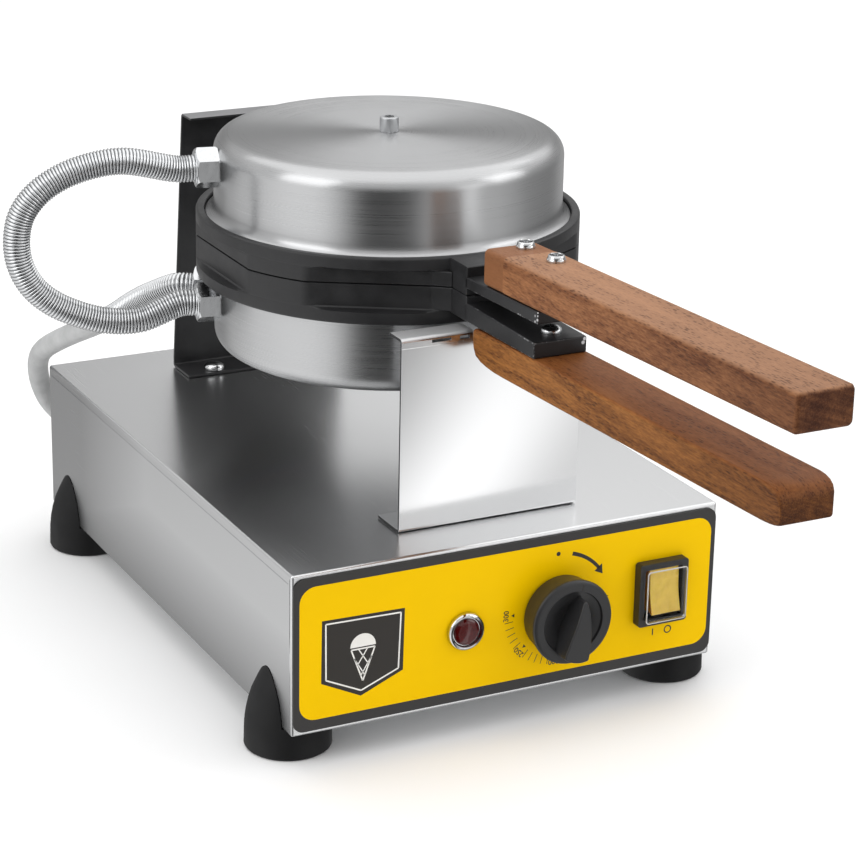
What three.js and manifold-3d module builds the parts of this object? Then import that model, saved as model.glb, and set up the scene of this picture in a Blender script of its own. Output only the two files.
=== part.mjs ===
// A counter-top waffle cone maker: a folded steel base with a control panel, and a round baking
// head of two cast plates. The head turns over on a shaft at the back, and its upper half opens.
//
// Millimetres, +Z up, +X to the right along the front panel, -Y towards the user.
// Every piece is built around the middle of the base's footprint, and the whole group is then
// moved along Y so that the origin lies under the middle of the object's bounding box.

import * as THREE from "three";
import { mergeVertices } from "three/addons/utils/BufferGeometryUtils.js";
import Module from "manifold-3d";

const wasm = await Module();
wasm.setup();

// ---------------------------------------------------------------- driving dimensions

const GAP = 0.3; // between pieces that touch
const SHEET = 1.5; // thickness of the folded steel

const BASE_WIDTH = 250;
const BASE_DEPTH = 361.2;
const BASE_BOTTOM = 18.3;
const BASE_TOP = 107.3;
const FRONT = -BASE_DEPTH / 2;
const BACK = BASE_DEPTH / 2;
const LABEL_THICK = 0.7;
const LABEL_FRONT = FRONT - GAP - LABEL_THICK; // the face that the controls stand on

const FOOT_X = 113.3;
const FOOT_Y = 150.4;
const FOOT_RADIUS = 23.2;
const FOOT_PEAK = 49;

const LAMP = { x: -27, z: 60.6 };
const DIAL = { x: 28.4, z: 61.2, radius: 25.8 };
const SWITCH = { x: 89.7, z: 63.2, width: 30, height: 36, depth: 5.7 };
const ROCKER_TILT = 8; // degrees either side of level
const ROCKER_PIVOT_Y = FRONT - 3.9;

const HEAD_Y = -29.7; // the head's own axis, which is vertical
const PARTING = 232; // height of the plane where the two plates meet, and of the flip axis
const PLATE_RADIUS = 104.8;
const FLAT_APOTHEM = 98.5; // the six flats around the parting
const UPPER_LEDGE = 240.5;
const UPPER_RIM = 247.4;
const LOWER_LEDGE = 218.9;
const LOWER_RIM = 211.5;
const BAKING_RADIUS = 91;
const BAKING_RECESS = 1.2;
const GROOVE_PITCH = 27;
const GROOVE_WIDTH = 3;
const GROOVE_DEPTH = 1;
const DOME_RADIUS = 95.1;
const DOME_FILLET = 10;
const DOME_WALL = 1.2;
const UPPER_DOME_TOP = 288.9;
const LOWER_DOME_BOTTOM = 169.7;
const LUG_HALF = 15;

const HINGE_Y = 84;
const KNUCKLE_RADIUS = 7.5;
const SHAFT_RADIUS = 8;
const BUSH_RADIUS = 10.7;

const STAND = { x: 1.4, half: 52.6, front: -151.7, top: 213, flange: 13.7, foot: 24.7 };
const BRACKET = { back: 147.2, top: 264.4, halfFoot: 57, halfTop: 50, flange: 14.7, foot: 25 };
const STAND_SLOTS = [[-34, -23], [-18, -12.5], [14.5, 20], [25.8, 36.8]]; // along the top bend
const LUG_NOTCH = { half: 10.5, depth: 4.3 }; // in the stand's top, for the corners of the turning lugs

const FITTING_FLATS = 19.4;
const FITTING_LENGTH = 11;
const FITTINGS = {
  upper_hose_fitting: { angle: 168, z: 273.3 },
  lower_hose_fitting: { angle: 168, z: 198.4 },
  feed_hose_fitting: { angle: 150, z: 198.4 },
};
const HOSE_RADIUS = 7.3;
const FEED_HOSE_RADIUS = 6.5;
const FEED_GLAND = { x: -95, z: 58 };
const CABLE_GLAND = { x: 70, z: 46 };
const RESET = { x: 20, z: 46 };

const HANDLE_FRONT = -446;
const REAR_REACH = 196; // how far the rear glands reach
const CENTRE_SHIFT = -(HANDLE_FRONT + REAR_REACH) / 2;

// ---------------------------------------------------------------- solid helpers

const vector = (x, y, z) => new THREE.Vector3(x, y, z);
const PLANES = {
  xy: new THREE.Matrix4(), // a profile in X and Y, extruded along +Z
  xz: new THREE.Matrix4().makeBasis(vector(1, 0, 0), vector(0, 0, 1), vector(0, -1, 0)), // along -Y
  yz: new THREE.Matrix4().makeBasis(vector(0, 1, 0), vector(0, 0, 1), vector(1, 0, 0)), // along +X
};
const AXES = {
  x: new THREE.Matrix4().makeRotationZ(-Math.PI / 2),
  y: new THREE.Matrix4(),
  z: new THREE.Matrix4().makeRotationX(Math.PI / 2),
};

/** A closed geometry as a Manifold, with its faces turned to point out. */
function solid(geometry) {
  const bare = geometry.clone();
  bare.deleteAttribute("normal");
  bare.deleteAttribute("uv");
  const merged = mergeVertices(bare, 1e-4);
  const at = merged.attributes.position;
  const index = merged.index.array;
  const corner = [vector(0, 0, 0), vector(0, 0, 0), vector(0, 0, 0)];
  const kept = [];
  let volume = 0;
  for (let i = 0; i < index.length; i += 3) {
    const [a, b, c] = index.slice(i, i + 3);
    if (a === b || b === c || c === a) continue;
    kept.push([a, b, c]);
    corner.forEach((point, k) => point.fromBufferAttribute(at, [a, b, c][k]));
    volume += corner[0].dot(corner[1].clone().cross(corner[2]));
  }
  if (volume < 0) kept.forEach((face) => face.reverse());
  return new wasm.Manifold(
    new wasm.Mesh({
      numProp: 3,
      vertProperties: new Float32Array(at.array),
      triVerts: new Uint32Array(kept.flat()),
    }),
  );
}

const joined = (solids) => solids.reduce((all, one) => all.add(one));
const cut = (body, solids) => solids.reduce((left, one) => left.subtract(one), body);

function block(x0, x1, y0, y1, z0, z1) {
  const box = new THREE.BoxGeometry(x1 - x0, y1 - y0, z1 - z0);
  return solid(box.translate((x0 + x1) / 2, (y0 + y1) / 2, (z0 + z1) / 2));
}

/** A shape drawn in one plane and extruded from one place to another along the third axis. */
function prism(plane, shape, from, to) {
  const made = new THREE.ExtrudeGeometry(shape, {
    depth: to - from,
    bevelEnabled: false,
    curveSegments: 5,
  });
  made.translate(0, 0, plane === "xz" ? -to : from);
  return solid(made.applyMatrix4(PLANES[plane]));
}

const outline = (points) => new THREE.Shape(points.map(([u, v]) => new THREE.Vector2(u, v)));

function roundedOutline(u0, u1, v0, v1, radius) {
  const shape = new THREE.Shape();
  const quarter = Math.PI / 2;
  shape.absarc(u1 - radius, v0 + radius, radius, -quarter, 0, false);
  shape.absarc(u1 - radius, v1 - radius, radius, 0, quarter, false);
  shape.absarc(u0 + radius, v1 - radius, radius, quarter, 2 * quarter, false);
  shape.absarc(u0 + radius, v0 + radius, radius, 2 * quarter, 3 * quarter, false);
  return shape;
}

/** A profile of [radius, distance along the axis] turned about an axis through a centre. */
function turned(axis, centre, profile, sides) {
  const points = profile.map(([r, along]) => new THREE.Vector2(r, along));
  const made = new THREE.LatheGeometry(points, sides).applyMatrix4(AXES[axis]);
  return solid(made.translate(...centre));
}

/** A round bar from one place to another along an axis. */
function bar(axis, centre, radius, from, to, sides = 20) {
  const profile = [[0, from], [radius, from], [radius, to], [0, to]];
  return turned(axis, centre, profile, sides);
}

/** A tube of a regular section along a smooth curve through the points. */
function tubeAlong(points, radius, sides, steps) {
  const path = new THREE.CatmullRomCurve3(points, false, "centripetal");
  const section = new THREE.Shape();
  for (let i = 0; i < sides; i += 1) {
    const angle = (2 * Math.PI * i) / sides;
    const [u, v] = [radius * Math.cos(angle), radius * Math.sin(angle)];
    if (i === 0) section.moveTo(u, v);
    else section.lineTo(u, v);
  }
  return solid(new THREE.ExtrudeGeometry(section, { steps, extrudePath: path }));
}

// ---------------------------------------------------------------- finishes and pieces

const finish = (color, roughness, metalness = 0) => ({ color, roughness, metalness });
const FINISH = {
  steel: finish(0xc9cbcc, 0.28, 1),
  spun: finish(0xbfc1c2, 0.32, 1),
  cast: finish(0x232426, 0.55, 0.2),
  dark: finish(0x2a2b2d, 0.5, 0.3),
  zinc: finish(0xb8babb, 0.35, 1),
  rubber: finish(0x18191a, 0.75),
  yellow: finish(0xf6bf06, 0.4),
  plastic: finish(0x151515, 0.45),
  chrome: finish(0xe2e3e4, 0.12, 1),
  red: finish(0x6d0f10, 0.15),
  amber: finish(0xf2b81c, 0.25),
  clear: finish(0xf3f3ea, 0.1),
  bronze: finish(0xa8763a, 0.4, 1),
  wood: finish(0xa66a45, 0.6),
  wool: finish(0xd8d2c4, 0.95),
  ceramic: finish(0xe9e6de, 0.7),
  hose: finish(0xb4b6b8, 0.3, 1),
  hosePale: finish(0xd3d4d3, 0.5),
};

const machine = new THREE.Group();

function piece(name, shape, look) {
  const made = shape.getMesh();
  const geometry = new THREE.BufferGeometry();
  geometry.setAttribute("position", new THREE.BufferAttribute(made.vertProperties.slice(), 3));
  geometry.setIndex(new THREE.BufferAttribute(made.triVerts.slice(), 1));
  geometry.computeVertexNormals();
  const mesh = new THREE.Mesh(geometry, new THREE.MeshStandardMaterial(FINISH[look]));
  mesh.name = name;
  machine.add(mesh);
}

// ---------------------------------------------------------------- fasteners

const SCREW_SIDES = 12;
const SHANK_RADIUS = 2.6;
const SHANK_HOLE = 3.1;

/** A domed screw pointing down, with its head on a surface and a slot across the head. */
function panScrew(x, y, z, headRadius, headHeight, length) {
  const head = [
    [0, -length],
    [SHANK_RADIUS, -length],
    [SHANK_RADIUS, 0],
    [headRadius, 0],
    [headRadius, headHeight * 0.4],
    [headRadius * 0.6, headHeight],
    [0, headHeight],
  ];
  const slot = block(x - headRadius * 0.6, x + headRadius * 0.6, y - 0.6, y + 0.6,
    z + headHeight * 0.5, z + headHeight + 1);
  return turned("z", [x, y, z], head, SCREW_SIDES).subtract(slot);
}

/** A socket cap screw along Z; up is 1 for a head on top of the surface and -1 below it. */
function capScrew(x, y, surface, up) {
  const headRadius = 5.2;
  const headHeight = 8;
  const depth = 24;
  const profile = [
    [0, -up * depth],
    [SHANK_RADIUS, -up * depth],
    [SHANK_RADIUS, 0],
    [headRadius, 0],
    [headRadius, up * (headHeight - 0.8)],
    [headRadius - 0.8, up * headHeight],
    [0, up * headHeight],
  ];
  const socket = [surface + up * (headHeight - 4), surface + up * (headHeight + 1)];
  const hexagon = bar("z", [x, y, 0], 2.9, Math.min(...socket), Math.max(...socket), 6);
  return turned("z", [x, y, surface], profile, SCREW_SIDES).subtract(hexagon);
}

/** A low nut with a crown of six notches, with its screw's end in the middle. */
function crownNut(x, y, surface) {
  const radius = 5.2;
  const height = 4;
  const notches = [];
  for (let i = 0; i < 6; i += 1) {
    const angle = (Math.PI * i) / 3;
    notches.push(bar("z", [x + radius * Math.cos(angle), y + radius * Math.sin(angle), 0], 1.3,
      surface + 1.2, surface + height + 1, 4));
  }
  const profile = [[0, 0], [radius, 0], [radius, 1.2], [radius - 0.9, height], [0, height]];
  const nut = cut(turned("z", [x, y, surface], profile, 18), notches);
  const stud = bar("z", [x, y, surface], SHANK_RADIUS, -10, height + 1, SCREW_SIDES);
  return nut.add(stud);
}

// ---------------------------------------------------------------- base

const STAND_SCREWS = [STAND.x - 36, STAND.x + 36];
const STAND_SCREW_Y = STAND.front + 13;
const BRACKET_BOLTS = [-37.5, 37.5];
const BRACKET_BOLT_Y = 129.5;
const HOUSING_SCREWS = [-19.4, 19.4];
const topHoles = [
  ...STAND_SCREWS.map((x) => [x, STAND_SCREW_Y]),
  ...BRACKET_BOLTS.map((x) => [x, BRACKET_BOLT_Y]),
].map(([x, y]) => bar("z", [x, y, 0], SHANK_HOLE, BASE_TOP - 6, BASE_TOP + 6, SCREW_SIDES));

const LAMP_HOLE = 8.8;
const SPINDLE_HOLE = 6;
const SWITCH_HOLE = [26.4, 31.6];
const panelHoles = [
  bar("y", [LAMP.x, 0, LAMP.z], LAMP_HOLE, FRONT - 3, FRONT + 3),
  bar("y", [DIAL.x, 0, DIAL.z], SPINDLE_HOLE, FRONT - 3, FRONT + 3),
  block(SWITCH.x - SWITCH_HOLE[0] / 2, SWITCH.x + SWITCH_HOLE[0] / 2, FRONT - 3, FRONT + 3,
    SWITCH.z - SWITCH_HOLE[1] / 2, SWITCH.z + SWITCH_HOLE[1] / 2),
];
const FEED_THREAD = 8;
const CABLE_THREAD = 9.5;
const RESET_COLLAR = 5;
const rearHoles = [
  bar("y", [FEED_GLAND.x, 0, FEED_GLAND.z], FEED_THREAD + 0.5, BACK - 3, BACK + 3),
  bar("y", [CABLE_GLAND.x, 0, CABLE_GLAND.z], CABLE_THREAD + 0.5, BACK - 3, BACK + 3),
  bar("y", [RESET.x, 0, RESET.z], RESET_COLLAR + 0.5, BACK - 3, BACK + 3),
];

function baseCover() {
  const half = BASE_WIDTH / 2;
  const outer = block(-half, half, FRONT, BACK, BASE_BOTTOM, BASE_TOP);
  const inner = block(-half + SHEET, half - SHEET, FRONT + SHEET, BACK - SHEET,
    BASE_BOTTOM - 1, BASE_TOP - SHEET);
  return cut(outer, [inner, ...panelHoles, ...rearHoles, ...topHoles]);
}

function baseBottom() {
  const half = BASE_WIDTH / 2 - SHEET - 0.5;
  const end = BASE_DEPTH / 2 - SHEET - 0.5;
  const slots = [];
  for (let row = 0; row < 7; row += 1) {
    const y = -90 + row * 30;
    slots.push(block(-60, 60, y - 3, y + 3, BASE_BOTTOM - 1, BASE_BOTTOM + SHEET + 1));
  }
  return cut(block(-half, half, -end, end, BASE_BOTTOM, BASE_BOTTOM + SHEET), slots);
}

/** A bell-shaped rubber foot under a corner, with a tongue that rises outside the side wall. */
function foot(sideX, sideY) {
  const profile = [
    [0, 0],
    [FOOT_RADIUS - 1.2, 0],
    [FOOT_RADIUS, 1.4],
    [FOOT_RADIUS - 0.6, 14],
    [FOOT_RADIUS - 3, 27],
    [FOOT_RADIUS - 8, 40],
    [FOOT_RADIUS - 12, FOOT_PEAK],
    [0, FOOT_PEAK],
  ];
  const bell = turned("z", [sideX * FOOT_X, sideY * FOOT_Y, 0], profile, 24);
  const wall = BASE_WIDTH / 2 + GAP;
  const box = block(-wall, wall, FRONT - 5, BACK + 5, BASE_BOTTOM - GAP, FOOT_PEAK + 1);
  return bell.subtract(box);
}

piece("base_cover", baseCover(), "steel");
piece("base_bottom", baseBottom(), "zinc");
piece("foot_front_left", foot(-1, -1), "rubber");
piece("foot_front_right", foot(1, -1), "rubber");
piece("foot_rear_left", foot(-1, 1), "rubber");
piece("foot_rear_right", foot(1, 1), "rubber");

// ---------------------------------------------------------------- control panel

const label = prism("xz", roundedOutline(-124.3, 124.3, 20.6, 105, 6), LABEL_FRONT, FRONT - GAP);
piece("panel_label", cut(label, panelHoles), "yellow");

function lampBezel() {
  const y = LABEL_FRONT - GAP;
  const profile = [[7.3, y], [10.6, y], [10.6, y - 2], [9.4, y - 4], [7.3, y - 4], [7.3, y]];
  return turned("y", [LAMP.x, 0, LAMP.z], profile, 28);
}

function lampLens() {
  const y = LABEL_FRONT - GAP;
  const profile = [[0, y], [7, y], [7, y - 3.4], [5.4, y - 5.2], [3, y - 6.1], [0, y - 6.4]];
  return turned("y", [LAMP.x, 0, LAMP.z], profile, 24);
}

function lampBody() {
  const barrel = bar("y", [LAMP.x, 0, LAMP.z], 8.2, LABEL_FRONT, FRONT + 26);
  const tabs = [-4, 4].map((x) =>
    block(LAMP.x + x - 0.5, LAMP.x + x + 0.5, FRONT + 25, FRONT + 34, LAMP.z - 2.4, LAMP.z + 2.4));
  return joined([barrel, ...tabs]);
}

piece("lamp_bezel", lampBezel(), "chrome");
piece("lamp_lens", lampLens(), "red");
piece("lamp_body", lampBody(), "plastic");

function switchBezel() {
  const [w, h] = [SWITCH.width / 2, SWITCH.height / 2];
  const frame = prism("xz", roundedOutline(SWITCH.x - w, SWITCH.x + w, SWITCH.z - h, SWITCH.z + h, 2),
    LABEL_FRONT - GAP - SWITCH.depth, LABEL_FRONT - GAP);
  const hole = block(SWITCH.x - 11.2, SWITCH.x + 11.2, FRONT - 12, FRONT, SWITCH.z - 14,
    SWITCH.z + 14);
  return frame.subtract(hole);
}

/** A clear splash cover: a soft box over the rocker, open at the back. */
function switchCover() {
  const [w, h] = [SWITCH.width / 2 - 2.4, SWITCH.height / 2 - 2.8];
  const back = LABEL_FRONT - 2 * GAP - SWITCH.depth;
  const shell = prism("xz", roundedOutline(SWITCH.x - w, SWITCH.x + w, SWITCH.z - h, SWITCH.z + h, 3),
    back - 4.4, back);
  const hollow = block(SWITCH.x - w + 1.2, SWITCH.x + w - 1.2, back - 3.2, back + 1,
    SWITCH.z - h + 1.2, SWITCH.z + h - 1.2);
  return shell.subtract(hollow);
}

function switchBody() {
  const front = FRONT + 2.2;
  const body = block(SWITCH.x - 12.6, SWITCH.x + 12.6, front, front + 22, SWITCH.z - 15.2,
    SWITCH.z + 15.2);
  const tabs = [];
  for (const x of [-7, 7]) {
    for (const z of [-9, 0, 9]) {
      tabs.push(block(SWITCH.x + x - 2.4, SWITCH.x + x + 2.4, front + 21, front + 30,
        SWITCH.z + z - 0.5, SWITCH.z + z + 0.5));
    }
  }
  return joined([body, ...tabs]);
}

/** The rocker: ends that stand out further than its middle, and a narrow back in the switch. */
function rocker() {
  const profile = outline([[4.5, -9], [0, -11.4], [-3, -12.8], [-1.8, 0], [-3, 12.8], [0, 11.4], [4.5, 9]]);
  const level = new THREE.ExtrudeGeometry(profile, { depth: 21, bevelEnabled: false });
  level.translate(0, 0, -10.5).applyMatrix4(PLANES.yz);
  level.rotateX(THREE.MathUtils.degToRad(-ROCKER_TILT));
  return solid(level.translate(SWITCH.x, ROCKER_PIVOT_Y, SWITCH.z));
}

piece("switch_bezel", switchBezel(), "plastic");
piece("switch_cover", switchCover(), "clear");
piece("switch_body", switchBody(), "plastic");
piece("rocker", rocker(), "amber");

const SPINDLE_RADIUS = 3;
const SPINDLE_FRONT = LABEL_FRONT - 19;

function dialKnob() {
  const back = LABEL_FRONT - 1.2;
  const skirt = [
    [0, back],
    [DIAL.radius - 0.6, back],
    [DIAL.radius, back - 2],
    [DIAL.radius - 1.4, back - 11],
    [DIAL.radius - 3.6, back - 13],
    [0, back - 13],
  ];
  const body = turned("y", [DIAL.x, 0, DIAL.z], skirt, 32);
  const reach = DIAL.radius - 1.6;
  const grip = prism("xz", roundedOutline(DIAL.x - 7, DIAL.x + 7, DIAL.z - reach, DIAL.z + reach, 4),
    back - 25, back - 12);
  const bore = bar("y", [DIAL.x, 0, DIAL.z], SPINDLE_RADIUS + 0.4, SPINDLE_FRONT - 1, back + 1);
  return body.add(grip).subtract(bore);
}

piece("dial_knob", dialKnob(), "plastic");
piece("dial_spindle",
  bar("y", [DIAL.x, 0, DIAL.z], SPINDLE_RADIUS, SPINDLE_FRONT, FRONT + 20, 16), "zinc");

function thermostatBody() {
  const front = FRONT + SHEET + GAP;
  const can = block(DIAL.x - 22, DIAL.x + 22, front, front + 26, DIAL.z - 17, DIAL.z + 17);
  const tabs = [-12, 12].map((x) =>
    block(DIAL.x + x - 3, DIAL.x + x + 3, front + 25, front + 35, DIAL.z - 0.5, DIAL.z + 0.5));
  const bore = bar("y", [DIAL.x, 0, DIAL.z], SPINDLE_RADIUS + 0.6, front - 1, front + 22);
  return joined([can, ...tabs]).subtract(bore);
}

piece("thermostat_body", thermostatBody(), "zinc");

// ---------------------------------------------------------------- electrical pieces in the base

function terminalBlock() {
  const bottom = BASE_BOTTOM + SHEET + GAP;
  const body = block(-30, 30, 100, 120, bottom, bottom + 14);
  const walls = [];
  const screws = [];
  for (let i = 0; i < 6; i += 1) {
    walls.push(block(-30 + i * 11.6, -28 + i * 11.6, 100, 120, bottom + 13, bottom + 20));
  }
  for (let i = 0; i < 5; i += 1) {
    screws.push(bar("z", [-23.2 + i * 11.6, 110, 0], 2.5, bottom + 9, bottom + 15, 8));
  }
  return cut(joined([body, ...walls]), screws);
}

/** A hexagon flange outside a rear hole and a threaded neck through it, with a bore for the lead. */
function gland(place, neck, bore, flange, reach, taper) {
  const out = BACK + GAP;
  const hexagon = bar("y", [place.x, 0, place.z], flange, out, out + 6, 6);
  const nose = [[0, out + 5], [taper + 1.5, out + 5], [taper, reach], [0, reach]];
  const body = joined([
    hexagon,
    bar("y", [place.x, 0, place.z], neck, BACK - 14, out + 1, 24),
    turned("y", [place.x, 0, place.z], nose, 24),
  ]);
  return body.subtract(bar("y", [place.x, 0, place.z], bore, BACK - 15, reach + 1, 16));
}

function glandNut() {
  const nut = bar("y", [CABLE_GLAND.x, 0, CABLE_GLAND.z], 14, BACK - SHEET - GAP - 5,
    BACK - SHEET - GAP, 6);
  return nut.subtract(bar("y", [CABLE_GLAND.x, 0, CABLE_GLAND.z], CABLE_THREAD + 0.4, BACK - 20,
    BACK, 24));
}

function cutoutBody() {
  const inner = BACK - SHEET - GAP;
  const can = bar("y", [RESET.x, 0, RESET.z], 12, inner - 16, inner, 24);
  const collar = bar("y", [RESET.x, 0, RESET.z], RESET_COLLAR, inner - 1, BACK + 4, 20);
  const tabs = [-6, 6].map((x) =>
    block(RESET.x + x - 3, RESET.x + x + 3, inner - 25, inner - 15, RESET.z - 0.5, RESET.z + 0.5));
  const bore = bar("y", [RESET.x, 0, RESET.z], 3.3, inner - 8, BACK + 5, 16);
  return joined([can, collar, ...tabs]).subtract(bore);
}

piece("terminal_block", terminalBlock(), "ceramic");
piece("cable_gland", gland(CABLE_GLAND, CABLE_THREAD, 4.6, 15, REAR_REACH, 7.5), "plastic");
piece("cable_gland_nut", glandNut(), "plastic");
piece("feed_gland", gland(FEED_GLAND, FEED_THREAD, 4.6, 12.6, BACK + 11, 9), "zinc");
piece("cutout_body", cutoutBody(), "plastic");
piece("reset_button", bar("y", [RESET.x, 0, RESET.z], 2.8, BACK - 5, BACK + 6, 16), "red");

// ---------------------------------------------------------------- front stand and rear bracket

/** A folded sheet stand: a foot and a top flange both turned back from an upright plate. */
function frontStand() {
  const { x, half, front, top } = STAND;
  const floor = BASE_TOP + GAP;
  const profile = outline([
    [front, floor],
    [front + STAND.foot, floor],
    [front + STAND.foot, floor + SHEET],
    [front + SHEET, floor + SHEET],
    [front + SHEET, top - SHEET],
    [front + STAND.flange, top - SHEET],
    [front + STAND.flange, top],
    [front, top],
  ]);
  const slots = STAND_SLOTS.map(([from, to]) =>
    block(from, to, front - 1, front + SHEET + 1, top - 3.6, top - 2));
  const notch = block(-LUG_NOTCH.half, LUG_NOTCH.half, front - 1, front + STAND.flange + 1,
    top - LUG_NOTCH.depth, top + 1);
  const holes = STAND_SCREWS.map((at) =>
    bar("z", [at, STAND_SCREW_Y, 0], SHANK_HOLE, floor - 1, floor + 5, SCREW_SIDES));
  return cut(prism("yz", profile, x - half, x + half), [notch, ...slots, ...holes]);
}

piece("front_stand", frontStand(), "steel");
STAND_SCREWS.forEach((x, i) => {
  const surface = BASE_TOP + 2 * GAP + SHEET;
  piece(`stand_screw_${["left", "right"][i]}`,
    panScrew(x, STAND_SCREW_Y, surface, 5, 3, 12), "zinc");
});

/** A tall folded bracket: a foot and a top flange turned forward, and sides that taper. */
function rearBracket() {
  const { back, top, halfFoot, halfTop } = BRACKET;
  const floor = BASE_TOP + GAP;
  const front = back - SHEET;
  const profile = outline([
    [back, floor],
    [back, top],
    [back - BRACKET.flange, top],
    [back - BRACKET.flange, top - SHEET],
    [front, top - SHEET],
    [front, floor + SHEET],
    [back - BRACKET.foot, floor + SHEET],
    [back - BRACKET.foot, floor],
  ]);
  const folded = prism("yz", profile, -halfFoot, halfFoot);
  const taper = outline([
    [-halfFoot, floor - 1],
    [halfFoot, floor - 1],
    [halfFoot, floor + 6],
    [halfTop, top + 1],
    [-halfTop, top + 1],
    [-halfFoot, floor + 6],
  ]);
  const holes = BRACKET_BOLTS.map((x) =>
    bar("z", [x, BRACKET_BOLT_Y, 0], SHANK_HOLE, floor - 1, floor + 5, SCREW_SIDES));
  const bushHole = bar("y", [0, 0, PARTING], BUSH_RADIUS + 0.8, front - 1, back + 1, 20);
  const housingHoles = HOUSING_SCREWS.map((x) =>
    bar("y", [x, 0, PARTING], SHANK_HOLE, front - 1, back + 1, 12));
  return cut(folded.intersect(prism("xz", taper, back - 40, back + 1)),
    [...holes, bushHole, ...housingHoles]);
}

piece("rear_bracket", rearBracket(), "dark");
BRACKET_BOLTS.forEach((x, i) => {
  const surface = BASE_TOP + 2 * GAP + SHEET;
  piece(`bracket_bolt_${["left", "right"][i]}`,
    panScrew(x, BRACKET_BOLT_Y, surface, 6.3, 4.2, 14), "zinc");
});

const HOUSING_FRONT = 127;
const BRACKET_FRONT = BRACKET.back - SHEET;

function bearingHousing() {
  const rear = BRACKET_FRONT - GAP;
  const flange = prism("xz", roundedOutline(-25, 25, PARTING - 15, PARTING + 15, 5), rear - 6, rear);
  const boss = bar("y", [0, 0, PARTING], 14.6, HOUSING_FRONT, rear - 5, 20);
  const bore = bar("y", [0, 0, PARTING], BUSH_RADIUS + 0.4, HOUSING_FRONT - 1, rear + 1, 20);
  const holes = HOUSING_SCREWS.map((x) => bar("y", [x, 0, PARTING], SHANK_HOLE, rear - 8, rear + 1, 12));
  return cut(flange.add(boss), [bore, ...holes]);
}

function bearingBush() {
  const bush = bar("y", [0, 0, PARTING], BUSH_RADIUS, HOUSING_FRONT - 0.5, BRACKET.back + 2, 20);
  const bore = bar("y", [0, 0, PARTING], SHAFT_RADIUS + 0.5, HOUSING_FRONT - 2, BRACKET.back + 3, 20);
  return bush.subtract(bore);
}

function housingScrew(x) {
  const headBack = BRACKET_FRONT - 2 * GAP - 6;
  const shank = bar("y", [x, 0, PARTING], SHANK_RADIUS, headBack - 1, BRACKET.back + 5, 12);
  const head = bar("y", [x, 0, PARTING], 4.3, headBack - 3, headBack, 16);
  return shank.add(head);
}

piece("bearing_housing", bearingHousing(), "cast");
piece("bearing_bush", bearingBush(), "bronze");
piece("housing_screw_left", housingScrew(HOUSING_SCREWS[0]), "zinc");
piece("housing_screw_right", housingScrew(HOUSING_SCREWS[1]), "zinc");

// ---------------------------------------------------------------- baking head: what both halves share

const ROUND = 40; // sides of the large turned pieces
const COARSE = 24; // sides of the large pieces inside the pans

/** The six flats that the parting edge of a plate is cut to, between two heights. */
function flats(from, to) {
  const corners = [];
  for (const middle of [0, 60, 120, 180, 240, 300]) {
    const cutter = block(FLAT_APOTHEM, FLAT_APOTHEM + 20, -60, 60, from, to);
    corners.push(cutter.rotate([0, 0, middle]).translate([0, HEAD_Y, 0]));
  }
  return corners;
}

/** Two sets of crossed grooves in a baking face; the face is at z and the plate lies towards side. */
function grooves(z, side) {
  const reach = BAKING_RADIUS - 6;
  const cutters = [];
  for (const [turn, depth] of [[45, GROOVE_DEPTH], [-45, GROOVE_DEPTH + 0.1]]) {
    const low = Math.min(z - side, z + side * depth);
    const high = Math.max(z - side, z + side * depth);
    for (let k = -2; k <= 2; k += 1) {
      const middle = k * GROOVE_PITCH;
      const half = Math.sqrt(reach * reach - middle * middle);
      const groove = block(middle - GROOVE_WIDTH / 2, middle + GROOVE_WIDTH / 2, -half, half, low, high);
      cutters.push(groove.rotate([0, 0, turn]).translate([0, HEAD_Y, 0]));
    }
  }
  return joined(cutters);
}

/** A spun steel pan; up is 1 for the upper one and -1 for the lower one. */
function dome(seat, crown, up, holes) {
  const wall = DOME_RADIUS;
  const foot = wall + 4.2;
  const bend = (radius, centreR, from, to, steps) => {
    const points = [];
    for (let i = 0; i <= steps; i += 1) {
      const angle = THREE.MathUtils.degToRad(from + ((to - from) * i) / steps);
      points.push([centreR + radius * Math.cos(angle),
        crown - up * DOME_FILLET + up * radius * Math.sin(angle)]);
    }
    return points;
  };
  const profile = [
    [0, crown],
    ...bend(DOME_FILLET, wall - DOME_FILLET, 90, 0, 3),
    [wall, seat + up * 5],
    [foot, seat + up * 1.2],
    [foot, seat],
    [foot - 1.6, seat],
    [wall - DOME_WALL, seat + up * 4.4],
    ...bend(DOME_FILLET - DOME_WALL, wall - DOME_FILLET, 0, 90, 3),
    [0, crown - up * DOME_WALL],
  ];
  return cut(turned("z", [0, HEAD_Y, 0], profile, ROUND), holes);
}

const HALF_FLAT = 30; // degrees that turn a hexagon's flat to face up

/** A bar that points out of the head sideways, where a fitting stands. */
function fittingBar(place, radius, from, to, sides) {
  const made = bar("x", [0, 0, 0], radius, from, to, sides);
  return made.rotate([HALF_FLAT, 0, 0]).rotate([0, 0, place.angle]).translate([0, HEAD_Y, place.z]);
}

/** A hexagon hose fitting on the side of a pan, with a hollow neck through the pan's wall. */
function hoseFitting(place) {
  const start = DOME_RADIUS + 0.4;
  const hexagon = fittingBar(place, FITTING_FLATS / Math.sqrt(3), start, start + FITTING_LENGTH, 6);
  const neck = fittingBar(place, 6, DOME_RADIUS - 8, start + 1, 16);
  return hexagon.add(neck).subtract(fittingBar(place, 4, DOME_RADIUS - 9, start + 12, 12));
}

const fittingHole = (place) => fittingBar(place, 6.6, DOME_RADIUS - 5, DOME_RADIUS + 5, 16);

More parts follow.
